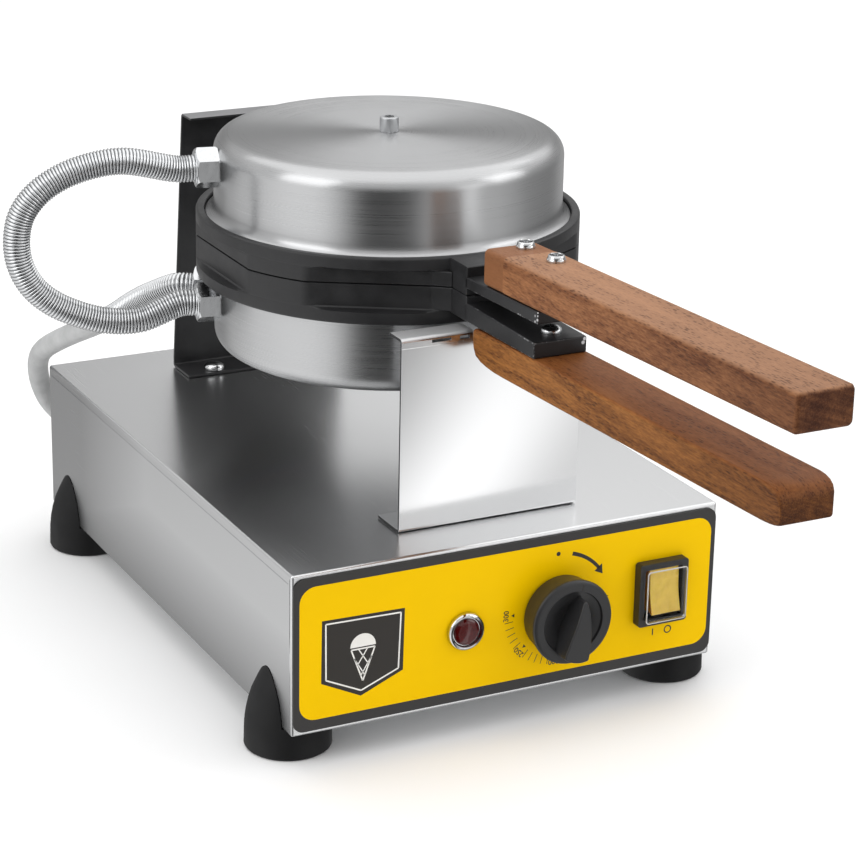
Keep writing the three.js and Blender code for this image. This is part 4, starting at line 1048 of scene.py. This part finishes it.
def framed(outer, hole, low, high):
    """A frame between two outlines with the same number of points."""
    n = len(outer)
    points = [(u, low, w) for u, w in outer] + [(u, low, w) for u, w in hole]
    points += [(u, high, w) for u, w in outer] + [(u, high, w) for u, w in hole]
    faces = []
    for i in range(n):
        j = (i + 1) % n
        faces.append([i, j, n + j, n + i])
        faces.append([2 * n + i, 3 * n + i, 3 * n + j, 2 * n + j])
        faces.append([i, 2 * n + i, 2 * n + j, j])
        faces.append([n + i, n + j, 3 * n + j, 3 * n + i])
    return points, faces


def switch_pieces():
    x, _, z = SWITCH
    y = BEZEL_BACK
    outer = rounded_rectangle(x - 15, x + 15, z - 18, z + 18, 1.8)
    hole = rounded_rectangle(x - 11.3, x + 11.3, z - 14.1, z + 14.1, 0.6)
    bezel = mesh_of(framed(outer, hole, y - 5.7, y))
    show("switch_frame", eased(bezel, 0.5, 2, 50), "base", BLACK_PLASTIC, "plastic_black", ["switch_bezel"])
    back = y - 5.4
    hood = rounded_rectangle(x - 12.2, x + 12.2, z - 14.9, z + 14.9, 1.6)
    crown = rounded_rectangle(x - 11.5, x + 11.5, z - 14.2, z + 14.2, 2.2)
    n = len(hood)
    points = [(u, back, w) for u, w in hood] + [(u, back - 3.4, w) for u, w in hood]
    points += [(u, back - 4.2, w) for u, w in crown]
    faces = [list(range(2 * n, 3 * n))]
    for row in range(2):
        faces += [[row * n + i, row * n + (i + 1) % n, (row + 1) * n + (i + 1) % n, (row + 1) * n + i]
                  for i in range(n)]
    shell = mesh_of((points, faces))
    cover = show("clear_switch_cover", shell, "base", CLEAR, "clear_cover", ["switch_cover"], weighted=False)
    wall = cover.modifiers.new("wall", "SOLIDIFY")
    wall.thickness = 0.0006
    wall.offset = -1
    lip = framed(rounded_rectangle(x - 12.4, x + 12.4, z - 15.1, z + 15.1, 1.8),
                 rounded_rectangle(x - 11.8, x + 11.8, z - 14.5, z + 14.5, 1.4), back - 4.0, back - 3.4)
    show("clear_cover_edge", eased(mesh_of(lip), 0.15, 2, 50), "base", CLEAR_EDGE, "clear_cover")
    tilt = math.radians(-8)
    profile = [(4.5, -8), (0, -10.6), (-2.4, -11.8), (-2.9, -11.7), (-3.0, -11.2), (-2.1, -4), (-1.9, 0),
               (-2.1, 4), (-3.0, 12.0), (-2.9, 12.6), (-2.4, 12.7), (0, 11.0), (4.5, 9)]
    c, s = math.cos(tilt), math.sin(tilt)
    leaned = [(-184.5 + c * u - s * v, z + s * u + c * v) for u, v in profile]
    rocker = eased(mesh_of(prism(leaned, "x", x - 7.8, x + 10.0)), 0.5, 3, 30)
    show("amber_rocker", rocker, "rocker_switch", AMBER, "rocker_amber", ["rocker"])


switch_pieces()

# ---------------------------------------------------------------- front stand and rear bracket

def folded(line, thick, bend, low, high):
    """Sheet along X with right-angled folds that all turn one way; line is the outside of the folds."""
    corners = [Vector(p) for p in line]
    sides = [(b - a).normalized() for a, b in zip(corners, corners[1:])]
    turn = math.copysign(1, sides[0].x * sides[1].y - sides[0].y * sides[1].x)
    inward = [Vector((-side.y, side.x)) * turn for side in sides]

    def offset_line(depth):
        found = [corners[0] + inward[0] * depth]
        for corner, one, two in zip(corners[1:-1], inward, inward[1:]):
            centre = corner + (one + two) * bend
            for k in range(7):
                angle = math.radians(15 * k)
                found.append(centre - (one * math.cos(angle) + two * math.sin(angle)) * (bend - depth))
        found.append(corners[-1] + inward[-1] * depth)
        return [tuple(p) for p in found]

    return prism(offset_line(0) + offset_line(thick)[::-1], "x", low, high)


FLOOR = BASE_TOP + 0.3


def stand_mesh():
    line = [(STAND_FRONT + 24.7, FLOOR), (STAND_FRONT, FLOOR), (STAND_FRONT, STAND_TOP),
            (STAND_FRONT + 13.7, STAND_TOP)]
    sheet = mesh_of(folded(line, SHEET, 2.0, STAND_X - STAND_HALF, STAND_X + STAND_HALF))
    gaps = [(-34, -23), (-18, -12.5), (14.5, 20), (25.8, 36.8)]
    cutters = [block(a, b, STAND_FRONT - 1, STAND_FRONT + 2.5, STAND_TOP - 3.6, STAND_TOP - 2) for a,
               b in gaps]
    cutters.append(block(-10.5, 10.5, STAND_FRONT - 1, STAND_FRONT + 15, STAND_TOP - 4.3, STAND_TOP + 1))
    cutters.append(block(STAND_X - STAND_HALF - 1, -16, STAND_FRONT - 1, STAND_FRONT + 0.12, STAND_TOP - 5.2,
                         STAND_TOP - 4.8))
    for x in STAND_SCREWS.values():
        cutters.append(rod(SCREW_HOLE, 106, 112, (x, STAND_FRONT + 13, 0)))
    return eased(carved(sheet, cutters), 0.2, 1, 60)


show("folded_front_stand", stand_mesh(), "base", STEEL_STAND, "steel_sheet", ["front_stand"])
for hand, x in STAND_SCREWS.items():
    show(f"stand_screw_head_{hand}", pan_screw(x, STAND_FRONT + 13, FLOOR + 1.8, 5, 3), "base", ZINC, "zinc",
         [f"stand_screw_{hand}"])


def bracket_mesh():
    line = [(BRACKET_BACK - 25, FLOOR), (BRACKET_BACK, FLOOR), (BRACKET_BACK, BRACKET_TOP),
            (BRACKET_BACK - 14.7, BRACKET_TOP)]
    sheet = mesh_of(folded(line, SHEET, 2.4, -57, 57))
    taper = [(-57, FLOOR - 1), (57, FLOOR - 1), (57, FLOOR + 6), (50, BRACKET_TOP + 1),
             (-50, BRACKET_TOP + 1), (-57, FLOOR + 6)]
    sheet = carved(sheet, [prism(taper, "y", BRACKET_BACK - 40, BRACKET_BACK + 1)], "INTERSECT")
    holes = [rod(11.5, 140, 150, SHAFT, "y", 64)]
    holes += [rod(SCREW_HOLE, 140, 150, (x, 0, PARTING), "y") for x in HOUSING_SCREWS.values()]
    holes += [rod(SCREW_HOLE, 105, 112, (x, BRACKET_BOLT_Y, 0)) for x in BRACKET_BOLTS.values()]
    return eased(carved(sheet, holes), 0.25, 1, 60)


show("folded_rear_bracket", bracket_mesh(), "base", SHEET_BLACK, "dark_sheet", ["rear_bracket"])
for hand, x in BRACKET_BOLTS.items():
    show(f"bracket_bolt_head_{hand}", pan_screw(x, BRACKET_BOLT_Y, FLOOR + 1.8, 6.3, 4.2, slot=False), "base",
         CHROME, "zinc", [f"bracket_bolt_{hand}"])

# ---------------------------------------------------------------- bearing, shaft and hinge pin

def bearing_pieces():
    rear = 145.4
    boss = [(11.1, 127), (13.8, 127), (14.6, 127.8), (14.6, rear - 6.6), (15.4, rear - 6), (15.4, rear),
            (11.1, rear), (11.1, 127)]
    flange = mesh_of(prism(rounded_rectangle(-25, 25, PARTING - 15, PARTING + 15, 6), "y", rear - 6,
                                      rear))
    holes = [rod(11.1, 120, 150, SHAFT, "y", 64)]
    holes += [rod(SCREW_HOLE, 120, 150, (x, 0, PARTING), "y") for x in HOUSING_SCREWS.values()]
    flange = eased(carved(flange, holes), 0.8, 3, 60)
    body = merged([flange, mesh_of(turned(boss, SHAFT, "y", 96))])
    show("cast_bearing_housing", body, "base", CAST, "cast_black", ["bearing_housing"])
    bush = [(8.5, 126.6), (10.2, 126.6), (10.7, 127.1), (10.7, 148.7), (10.2, 149.2), (8.5, 149.2),
            (8.5, 126.6)]
    show_turned("turned_bearing_bush", bush, SHAFT, "y", 96, "base", BRONZE, "bronze", ["bearing_bush"])
    shaft = [(0, 93), (7.4, 93), (8, 93.6), (8, 161), (7.0, 162), (0, 162)]
    show_turned("turned_flip_shaft", shaft, SHAFT, "y", 96, "head_lower", ZINC, "zinc", ["flip_shaft"])
    low, high = 152.7, 160.2
    hexagon = mesh_of(prism([(u, PARTING + v) for u, v in upright_hexagon(23.8)], "y", low, high))
    cone = [(0, low), (12.9, low), (13.8, low + 0.8), (13.8, high - 0.8), (12.4, high), (0, high)]
    nut = carved(hexagon, [turned(cone, SHAFT, "y", 72)], "INTERSECT")
    nut = carved(nut, [rod(8.4, low - 1, high + 1, SHAFT, "y", 48)])
    show("chamfered_shaft_nut", nut, "head_lower", ZINC, "zinc", ["shaft_nut"])
    pin = [(0, -26), (2.5, -26), (3, -25.5), (3, 25.5), (2.5, 26), (0, 26)]
    show_turned("turned_hinge_pin", pin, HINGE, "x", 48, "head_lower", ZINC, "zinc", ["hinge_pin"])
    for hand, x in HOUSING_SCREWS.items():
        screw = [(0, 135.1), (3.5, 135.1), (4.2, 135.5), (4.3, 136), (4.3, 138.8), (2.6, 139.1), (2.6, 151.6),
                 (2.2, 152.2), (0, 152.2)]
        head = mesh_of(turned(screw, (x, 0, PARTING), "y", 48))
        socket = prism([(x + u * 0.2, PARTING + v * 0.2) for u, v in upright_hexagon(21.8)], "y", 130, 137)
        show(f"housing_screw_head_{hand}", carved(head, [socket]), "base", ZINC, "zinc",
             [f"housing_screw_{hand}"])


bearing_pieces()

# ---------------------------------------------------------------- baking head

def pan(seat, crown, up):
    """A spun pan: a flat crown with a slight rise, a rolled edge, a straight wall and a flared foot."""
    def z(inset):
        return crown - up * inset

    outer = [(0, z(0.0)), (40, z(0.05)), (80, z(0.25)), (85.1, z(0.35))]
    outer += [(85.1 + 10 * math.sin(t), z(10.2 - 9.85 * math.cos(t)))
              for t in np.linspace(0.16, math.pi / 2, 12)]
    outer += [(95.1, seat + up * 7.0), (95.3, seat + up * 5.0), (96.0, seat + up * 3.2),
              (97.2, seat + up * 2.0), (98.6, seat + up * 1.3), (99.3, seat + up * 1.1), (99.3, seat),
              (97.6, seat), (94.6, seat + up * 3.2), (93.9, seat + up * 6.0)]
    inside = [(83.9 + 10 * math.sin(t), z(11.4 - 9.6 * math.cos(t)))
              for t in np.linspace(math.pi / 2, 0.16, 8)]
    profile = outer + inside + [(40, z(1.5)), (0, z(1.45))]
    return mesh_of(turned(profile, HEAD, sides=192))


def bored(mesh, names, crown):
    """The pan with its hose holes and the hole for its middle screw."""
    cutters = [rod(SCREW_HOLE, crown - 4, crown + 4, HEAD)]
    for name in names:
        angle, z = FITTINGS[name]
        points, faces = rod(6.6, 85, 105, (0, 0, z), "x")
        points = [(x, y + HEAD_Y, w) for (x, y), w in zip(spun([p[:2] for p in points], angle),
                                                          (p[2] for p in points))]
        cutters.append((points, faces))
    return carved(mesh, cutters)


UPPER_SEAT, LOWER_SEAT = 244.3, 214.6
upper_pan = bored(pan(UPPER_SEAT, 288.9, 1), ["upper_hose_fitting"], 288.9)
lower_pan = bored(pan(LOWER_SEAT, 169.7, -1), ["lower_hose_fitting", "feed_hose_fitting"], 169.7)
show("spun_upper_pan", upper_pan, "head_upper", SPUN, "spun_steel", ["upper_dome"], weighted=False, angle=40)
show("spun_lower_pan", lower_pan, "head_lower", SPUN, "spun_steel", ["lower_dome"], weighted=False, angle=40)
show("upper_pan_screw", socket_cap(HEAD_Y, 289.0, 1), "head_upper", DULL_ZINC, "zinc", ["upper_dome_screw"],
     angle=25)
show("lower_pan_screw", socket_cap(HEAD_Y, 169.6, -1), "head_lower", DULL_ZINC, "zinc", ["lower_dome_screw"],
     angle=25)
for name, body in (("upper_hose_fitting", "head_upper"), ("lower_hose_fitting", "head_lower"),
                   ("feed_hose_fitting", "head_lower")):
    show(f"{name}_nut", hose_fitting(name), body, ZINC, "zinc", [name])


def plate_ring(face, ledge, rim, up):
    """A cast plate: six flats along its parting edge, a round rim that holds the pan, and a solid back."""
    seat = rim - up * 3.4

    def inset(distance):
        return face + up * distance

    rows = [(0, inset(2.2), 0), (90.4, inset(2.2), 0), (91, inset(1.2), 0), (91.4, inset(0.3), 0),
            (92, inset(0), 0), (PLATE_RADIUS - 0.8, inset(0), 1), (PLATE_RADIUS - 0.2, inset(0.3), 1),
            (PLATE_RADIUS, inset(0.9), 1), (PLATE_RADIUS, ledge - up * 0.9, 1),
            (PLATE_RADIUS, ledge - up * 0.2, 2), (PLATE_RADIUS - 0.1, ledge, 3),
            (PLATE_RADIUS, ledge + up * 0.7, 0), (PLATE_RADIUS, rim - up * 1.4, 0),
            (PLATE_RADIUS - 0.4, rim - up * 0.5, 0), (PLATE_RADIUS - 1.2, rim, 0), (101, rim, 0),
            (100.3, rim - up * 0.3, 0), (100.1, seat, 0), (93.1, seat, 0), (93.1, inset(8), 0),
            (0, inset(8), 0)]

    def banded(k, angle, radius):
        kind = rows[k][2]
        if not kind:
            return radius
        away = (angle + math.pi / 6) % (math.pi / 3) - math.pi / 6
        flat = FLAT_APOTHEM / math.cos(away)
        fill = {1: 0.0, 2: 0.7, 3: 1.6}[kind]
        edge = PLATE_RADIUS - radius
        return min(radius, flat + fill - min(edge, 0.8))

    return turned([(r, z) for r, z, _ in rows], HEAD, sides=216, shape=banded)


def clipped(outline, reach, sides=48):
    """The part of a convex outline that lies inside a round limit."""
    for k in range(sides):
        angle = 2 * math.pi * k / sides
        nu, nv = math.cos(angle), math.sin(angle)
        kept = []
        for a, b in zip(outline, outline[1:] + outline[:1]):
            past_a = a[0] * nu + a[1] * nv - reach
            past_b = b[0] * nu + b[1] * nv - reach
            if past_a <= 0:
                kept.append(a)
            if past_a * past_b < 0:
                t = past_a / (past_a - past_b)
                kept.append((a[0] + (b[0] - a[0]) * t, a[1] + (b[1] - a[1]) * t))
        outline = kept
        if len(outline) < 3:
            return []
    return outline


def waffle_pads(face, up):
    """The raised lands between the crossed grooves of a baking face."""
    pitch, half = 8.8, 3.9
    root, top = face + up * 2.25, face + up * 1.2
    diagonal = math.sqrt(0.5)
    shells = []
    for i in range(-11, 12):
        for j in range(-11, 12):
            square = [(pitch * i + u, pitch * j + v) for u, v in ((-half, -half), (half, -half), (half, half),
                                                                    (-half, half))]
            land = clipped([((u - v) * diagonal, (u + v) * diagonal) for u, v in square], 88.6)
            if len(land) < 3:
                continue
            cu = sum(u for u, v in land) / len(land)
            cv = sum(v for u, v in land) / len(land)
            shells.append(loft([(u, v + HEAD_Y, root) for u, v in land],
                               [(cu + (u - cu) * 0.8, cv + (v - cv) * 0.8 + HEAD_Y, top) for u, v in land]))
    return shells


def soft_block(shell, width=0.8, segments=3):
    return eased(mesh_of(shell), width, segments, 30)


LUG_HALF = 15.0


def upper_handle_top(y):
    return 261.8 + (-170 - y) * 0.042


def upper_handle_bottom(y):
    return 242.7 + (-170 - y) * 0.0415


def lower_handle_top(y):
    return 219.5 + (-223 - y) * 0.0365


def lower_handle_bottom(y):
    return 199.6 + (-183 - y) * 0.038


def knuckle(x0, x1):
    barrel = [(0, x0), (7.0, x0), (7.5, x0 + 0.5), (7.5, x1 - 0.5), (7.0, x1), (0, x1)]
    return carved(mesh_of(turned(barrel, HINGE, "x", 64)), [rod(3.4, x0 - 1, x1 + 1, HINGE, "x", 48)])


def arm_at_hinge(x0, x1, z0, z1):
    """An arm from the plate's rim to its knuckle, cut away round the pin."""
    arm = soft_block(block(x0, x1, 62, HINGE[1], z0, z1), 1.0)
    return carved(arm, [rod(3.5, x0 - 1, x1 + 1, HINGE, "x", 48)])


def boss_for_screw(back, up):
    ends = [back - up * 1, back + up * 22]
    profile = [(3.1, ends[0]), (7.5, ends[0]), (7.5, ends[1] - up * 0.6), (6.9, ends[1]), (3.1, ends[1]),
               (3.1, ends[0])]
    return mesh_of(turned(profile, HEAD, sides=48))


def upper_plate_mesh():
    root = [(-131.3, 247.3), (-151.4, 247.3), (-152, 246.8), (-152, 232.6), (-151.6, UPPER_FACE),
            (-131.3, UPPER_FACE)]
    tongue = [(-150, upper_handle_bottom(-152) - 0.3), (-226, upper_handle_bottom(-226) - 0.3), (-226, 238.2),
              (-150, 235.6)]
    flank = [(-15, -131.3), (-15, -136.5), (-27, -127.2), (-36, -122), (-30, -110), (30, -110), (36, -122),
             (27, -127.2), (15, -136.5)]
    parts = [mesh_of(plate_ring(UPPER_FACE, 240.5, 247.4, 1), *waffle_pads(UPPER_FACE, 1))]
    parts.append(soft_block(prism(root, "x", -LUG_HALF, LUG_HALF), 0.7))
    parts.append(soft_block(prism(tongue, "x", -LUG_HALF, LUG_HALF), 0.8))
    parts.append(soft_block(prism(flank, "z", UPPER_FACE, 240.3), 0.8))
    parts.append(arm_at_hinge(-12, 12, UPPER_FACE, 239.5))
    parts.append(knuckle(-12, 12))
    parts.append(boss_for_screw(UPPER_FACE + 8, 1))
    return merged(parts)


def lower_plate_mesh():
    root = [(-131.3, LOWER_FACE), (-151, LOWER_FACE), (-152, LOWER_FACE - 0.8), (-152, 218.2),
            (-131.3, 218.2)]
    tongue = [(-150, 228), (-223, 228), (-223, 219.6), (-150, 218.2)]
    flank = [(-15, -136.5), (-27, -127.2), (-36, -122), (-30, -110), (30, -110), (36, -122), (27, -127.2),
             (15, -136.5)]
    parts = [mesh_of(plate_ring(LOWER_FACE, 218.9, 211.5, -1), *waffle_pads(LOWER_FACE, -1))]
    parts.append(soft_block(prism(root, "x", -LUG_HALF, LUG_HALF), 0.7))
    parts.append(soft_block(prism(tongue, "x", -LUG_HALF, LUG_HALF), 0.9))
    parts.append(soft_block(prism(flank, "z", 219.1, LOWER_FACE), 0.8))
    for x0, x1 in ((-24, -12.6), (12.6, 24)):
        parts.append(knuckle(x0, x1))
        parts.append(arm_at_hinge(x0, x1, 224.5, LOWER_FACE))
        parts.append(soft_block(block(x0, x1, HINGE[1] + 4, 94, 224.5, 239.5), 1.0))
    crossbar = soft_block(block(-24, 24, 93, 103, PARTING - 14, PARTING + 10), 1.2)
    parts.append(carved(crossbar, [rod(8.2, 90, 105, SHAFT, "y", 48)]))
    parts.append(boss_for_screw(LOWER_FACE - 8, -1))
    return merged(parts)


show("cast_upper_plate", upper_plate_mesh(), "head_upper", CAST, "cast_black", ["upper_plate"], angle=30)
show("cast_lower_plate", lower_plate_mesh(), "head_lower", CAST, "cast_black", ["lower_plate"], angle=30)

# ---------------------------------------------------------------- wooden handles

def beam(stations, corner):
    """A wooden bar through stations of (y, bottom, top, left side, right side), with rounded long edges."""
    rings = []
    for y, low, high, left, right in stations:
        radius = min(corner, (high - low) / 2 - 0.05)
        rings.append([(u, y, w) for u, w in rounded_rectangle(left, right, low, high, radius, 5)])
    return mesh_of(loft(*rings))


def upper_handle_mesh():
    half = 15.8
    stations = []

    def add(y, inset, side):
        stations.append((y, upper_handle_bottom(y) + inset, upper_handle_top(y) - inset, inset - side,
                         side - inset))

    for y, inset in ((-170.0, 0.9), (-170.25, 0.35), (-170.9, 0.0), (-190.6, 0.0)):
        add(y, inset, half - 0.5)
    for k in range(13):
        add(-191.2 - 252.4 * k / 12, 0.0, half - 0.6 * (k / 12) ** 2)
    for y, inset in ((-444.7, 0.4), (-445.4, 0.9), (-445.8, 1.6), (-446.0, 2.4)):
        add(y, inset, half - 0.6)
    return beam(stations, 2.6)


def lower_handle_mesh():
    left, right = -15.0, 16.6
    stations = []
    for y, low, down, side in ((-158.0, 212.0, 3.4, 2.0), (-158.3, 212.0, 2.2, 1.1),
                               (-159.2, 208.6, 1.0, 0.5), (-160.6, 205.6, 0.35, 0.15),
                               (-163, 202.6, 0.05, 0.0)):
        stations.append((y, low, lower_handle_top(y) - down, left + side, right - side))
    for y, up in ((-168, 1.9), (-174, 0.9), (-182, 0.2)):
        stations.append((y, lower_handle_bottom(y) + up, lower_handle_top(y), left, right))
    for k in range(12):
        y = -192 - 231 * k / 11
        stations.append((y, lower_handle_bottom(y), lower_handle_top(y), left, right))
    for y, inset in ((-427, 0.3), (-430.5, 1.0), (-433.4, 2.2), (-435.6, 4.0), (-436.9, 6.2), (-437.4, 8.4)):
        stations.append((y, lower_handle_bottom(y) + inset * 0.2, lower_handle_top(y) - inset * 1.05,
                         left + inset * 0.2, right - inset * 0.45))
    return beam(stations, 1.5)


show("beech_upper_handle", upper_handle_mesh(), "head_upper", WOOD_UPPER, "wood_upper", ["upper_handle"],
     angle=40)
show("beech_lower_handle", lower_handle_mesh(), "head_lower", WOOD_LOWER, "wood_lower", ["lower_handle"],
     angle=40)
for fore, y in (("rear", -178), ("front", -209)):
    show(f"crown_nut_head_{fore}", crown_nut(4, y, upper_handle_top(y) + 0.1), "head_upper", CHROME, "zinc",
         [f"crown_nut_{fore}"], angle=40)
show("lower_handle_screw_head", pan_screw(2, -210, 228.1, 5.4, 3.6), "head_lower", ZINC, "zinc",
     ["lower_handle_screw"])

# ---------------------------------------------------------------- rear glands and the pieces inside

def rear_pieces():
    out = BACK + 0.3
    for name, (x, z), flange, nose, node, look, slot in (
            ("cable_gland_cap", (70, 46), 15.0, 196, "cable_gland", BLACK_PLASTIC, "plastic_black"),
            ("feed_gland_cap", (-95, 58), 12.6, BACK + 11, "feed_gland", ZINC, "zinc")):
        neck = 9.5 if flange > 13 else 8.0
        tip = 7.5 if flange > 13 else 9.0
        hexagon = [(x + u, z + v) for u, v in upright_hexagon(flange * math.sqrt(3))]
        cone = [(0, out), (flange - 0.8, out), (flange, out + 0.8), (flange, out + 5),
                (flange - 1.2, out + 6), (0, out + 6)]
        base = carved(mesh_of(prism(hexagon, "y", out, out + 6)),
                      [mesh_of(turned(cone, (x, 0, z), "y", 72))], "INTERSECT")
        body = [(0, BACK - 14), (neck, BACK - 14), (neck, out + 5), (tip + 1.5, out + 5.5),
                (tip + 1.2, out + 7)]
        body += [(tip + 0.2, nose - 1.4), (tip - 0.4, nose - 0.3), (tip - 1, nose), (0, nose)]
        core = mesh_of(turned(body, (x, 0, z), "y", 72))
        bore = mesh_of(turned([(0, BACK - 16), (4.6, BACK - 16), (4.6, nose + 2), (0, nose + 2)], (x, 0, z),
                                       "y", 48))
        show(name, merged([carved(base, [bore]), carved(core, [bore.copy()])]), "base", look, slot, [node])
    collar = [(3.3, BACK - 9), (5, BACK - 9), (5, BACK + 3.4), (4.4, BACK + 4), (3.3, BACK + 4),
              (3.3, BACK - 9)]
    can = [(0, BACK - 17.8), (11.4, BACK - 17.8), (12, BACK - 17.2), (12, BACK - 1.8), (5.2, BACK - 1.8),
           (5.2, BACK - 9), (0, BACK - 9)]
    body = mesh_of(turned(collar, CUTOUT, "y", 64), turned(can, CUTOUT, "y", 64))
    x, _, z = CUTOUT
    tabs = [mesh_of(block(x + u - 3, x + u + 3, BACK - 26.8, BACK - 17, z - 0.5, z + 0.5)) for u in (-6, 6)]
    show("safety_cutout", merged([body, *tabs]), "base", BLACK_PLASTIC, "plastic_black", ["cutout_body"])
    cap = [(0, BACK - 5), (2.8, BACK - 5), (2.8, BACK + 4.8), (2.2, BACK + 5.8), (1.2, BACK + 6),
           (0, BACK + 6)]
    show_turned("red_reset_button", cap, CUTOUT, "y", 48, "reset", RED_PLASTIC, "reset_red", ["reset_button"])


rear_pieces()

CARRIED_OVER = {"base_bottom": DULL_ZINC, "lamp_body": BLACK_PLASTIC, "switch_body": BLACK_PLASTIC,
                "thermostat_body": DULL_ZINC, "terminal_block": CERAMIC, "cable_gland_nut": BLACK_PLASTIC,
                "lower_element": SHEATH, "lower_element_cover": DULL_ZINC, "lower_insulation": WOOL,
                "thermostat_bulb": ZINC, "upper_element": SHEATH, "upper_element_cover": DULL_ZINC,
                "upper_insulation": WOOL}
for node, look in CARRIED_OVER.items():
    mesh = frame["nodes"][node].data
    mesh.materials.clear()
    mesh.materials.append(look)

# ---------------------------------------------------------------- studio

def floor():
    mesh = bpy.data.meshes.new("floor")
    mesh.from_pydata([(-30, -30, 0), (30, -30, 0), (30, 30, 0), (-30, 30, 0)], [], [[0, 1, 2, 3]])
    made = placed("floor", mesh)
    look = Look("floor", (0.9, 0.9, 0.9), 0.8)
    soft = look.grain((0.6, 0.6, 0.6), 2.0)
    look.set("Base Color", look.ramp(soft, [(0.3, (0.93, 0.93, 0.93)), (0.7, (0.95, 0.95, 0.95))]))
    mesh.materials.append(look.material)
    made.visible_glossy = False


def area_light(name, place, target, width, height, power):
    data = bpy.data.lights.new(name, "AREA")
    data.shape = "RECTANGLE"
    data.size = width
    data.size_y = height
    data.energy = power
    made = placed(name, data)
    made.location = place
    made.rotation_euler = (Vector(target) - Vector(place)).to_track_quat("-Z", "Y").to_euler()


# Brightness round the studio, by bearing in degrees from the back (+Y) towards the right (+X).
LOW_RING = [(-180, 0.62), (-173, 0.26), (-167, 0.1), (-160, 0.05), (-147, 0.02), (-139, 0.05), (-133, 0.23),
            (-127, 0.56), (-121, 0.9), (-114, 1.1), (-100, 1.2), (-80, 1.22), (-60, 1.15), (-45, 0.98),
            (-30, 0.78), (-24, 0.72), (-19, 0.42), (0, 0.4), (54, 0.5), (75, 0.32), (101, 0.37), (120, 0.46),
            (137, 0.62), (145, 0.68), (149.5, 1.3), (152.5, 1.45), (156, 0.9), (160, 0.4), (173, 0.36)]
HIGH_RING = [(-180, 0.5), (-170, 0.15), (-145, 0.1), (-125, 0.5), (-100, 1.0), (-60, 0.9), (-30, 0.6),
             (10, 0.32), (40, 0.34), (60, 0.46), (110, 0.5), (138, 1.0), (146, 1.7), (158, 1.7), (166, 0.7)]
ROOF_RING = [(-180, 0.96), (-60, 0.96), (0, 0.74), (19, 0.62), (26, 1.3), (50, 1.35), (80, 1.0), (150, 0.96)]


def world():
    """A studio whose walls are brighter and darker by bearing, with a pale ceiling."""
    made = bpy.data.worlds.new("studio")
    bpy.context.scene.world = made
    made.use_nodes = True
    nodes = Nodes(made.node_tree)

    def ring(stops):
        return nodes.ramp(bearing, [((degrees + 180) / 360, (level / 2,) * 3)
                                    for degrees, level in stops + [(180, stops[0][1])]], "EASE")

    def step(low, high):
        return nodes.span(z, low, high, interpolation="SMOOTHSTEP")

    direction = nodes.add("ShaderNodeTexCoord").outputs["Generated"]
    x, y, z = nodes.add("ShaderNodeSeparateXYZ", {0: direction}).outputs
    bearing = nodes.span(nodes.math("ARCTAN2", x, y), -math.pi, math.pi)
    depth = nodes.span(z, -0.38, -0.32, 1.15, 0.95)
    low = nodes.add("ShaderNodeVectorMath", {0: ring(LOW_RING), "Scale": depth}, operation="SCALE").outputs[0]
    walls = nodes.mixed(step(-0.03, 0.1), low, ring(HIGH_RING))
    roof = nodes.mixed(step(0.5, 0.8), ring(ROOF_RING), (0.3, 0.3, 0.3))
    background = nodes.tree.nodes["Background"]
    nodes.feed(background.inputs["Color"], nodes.mixed(step(0.24, 0.42), walls, roof))
    background.inputs["Strength"].default_value = 2.0


floor()
world()
middle = (0.0, 0.05, 0.15)
area_light("left_softbox", (-2.2, -0.2, 1.5), middle, 1.6, 1.6, 14)
area_light("right_softbox", (2.2, -1.2, 1.6), middle, 1.4, 1.6, 12)
area_light("top_softbox", (0.1, 0.3, 2.4), middle, 4.0, 4.0, 50)
bpy.context.scene.view_settings.view_transform = "Standard"
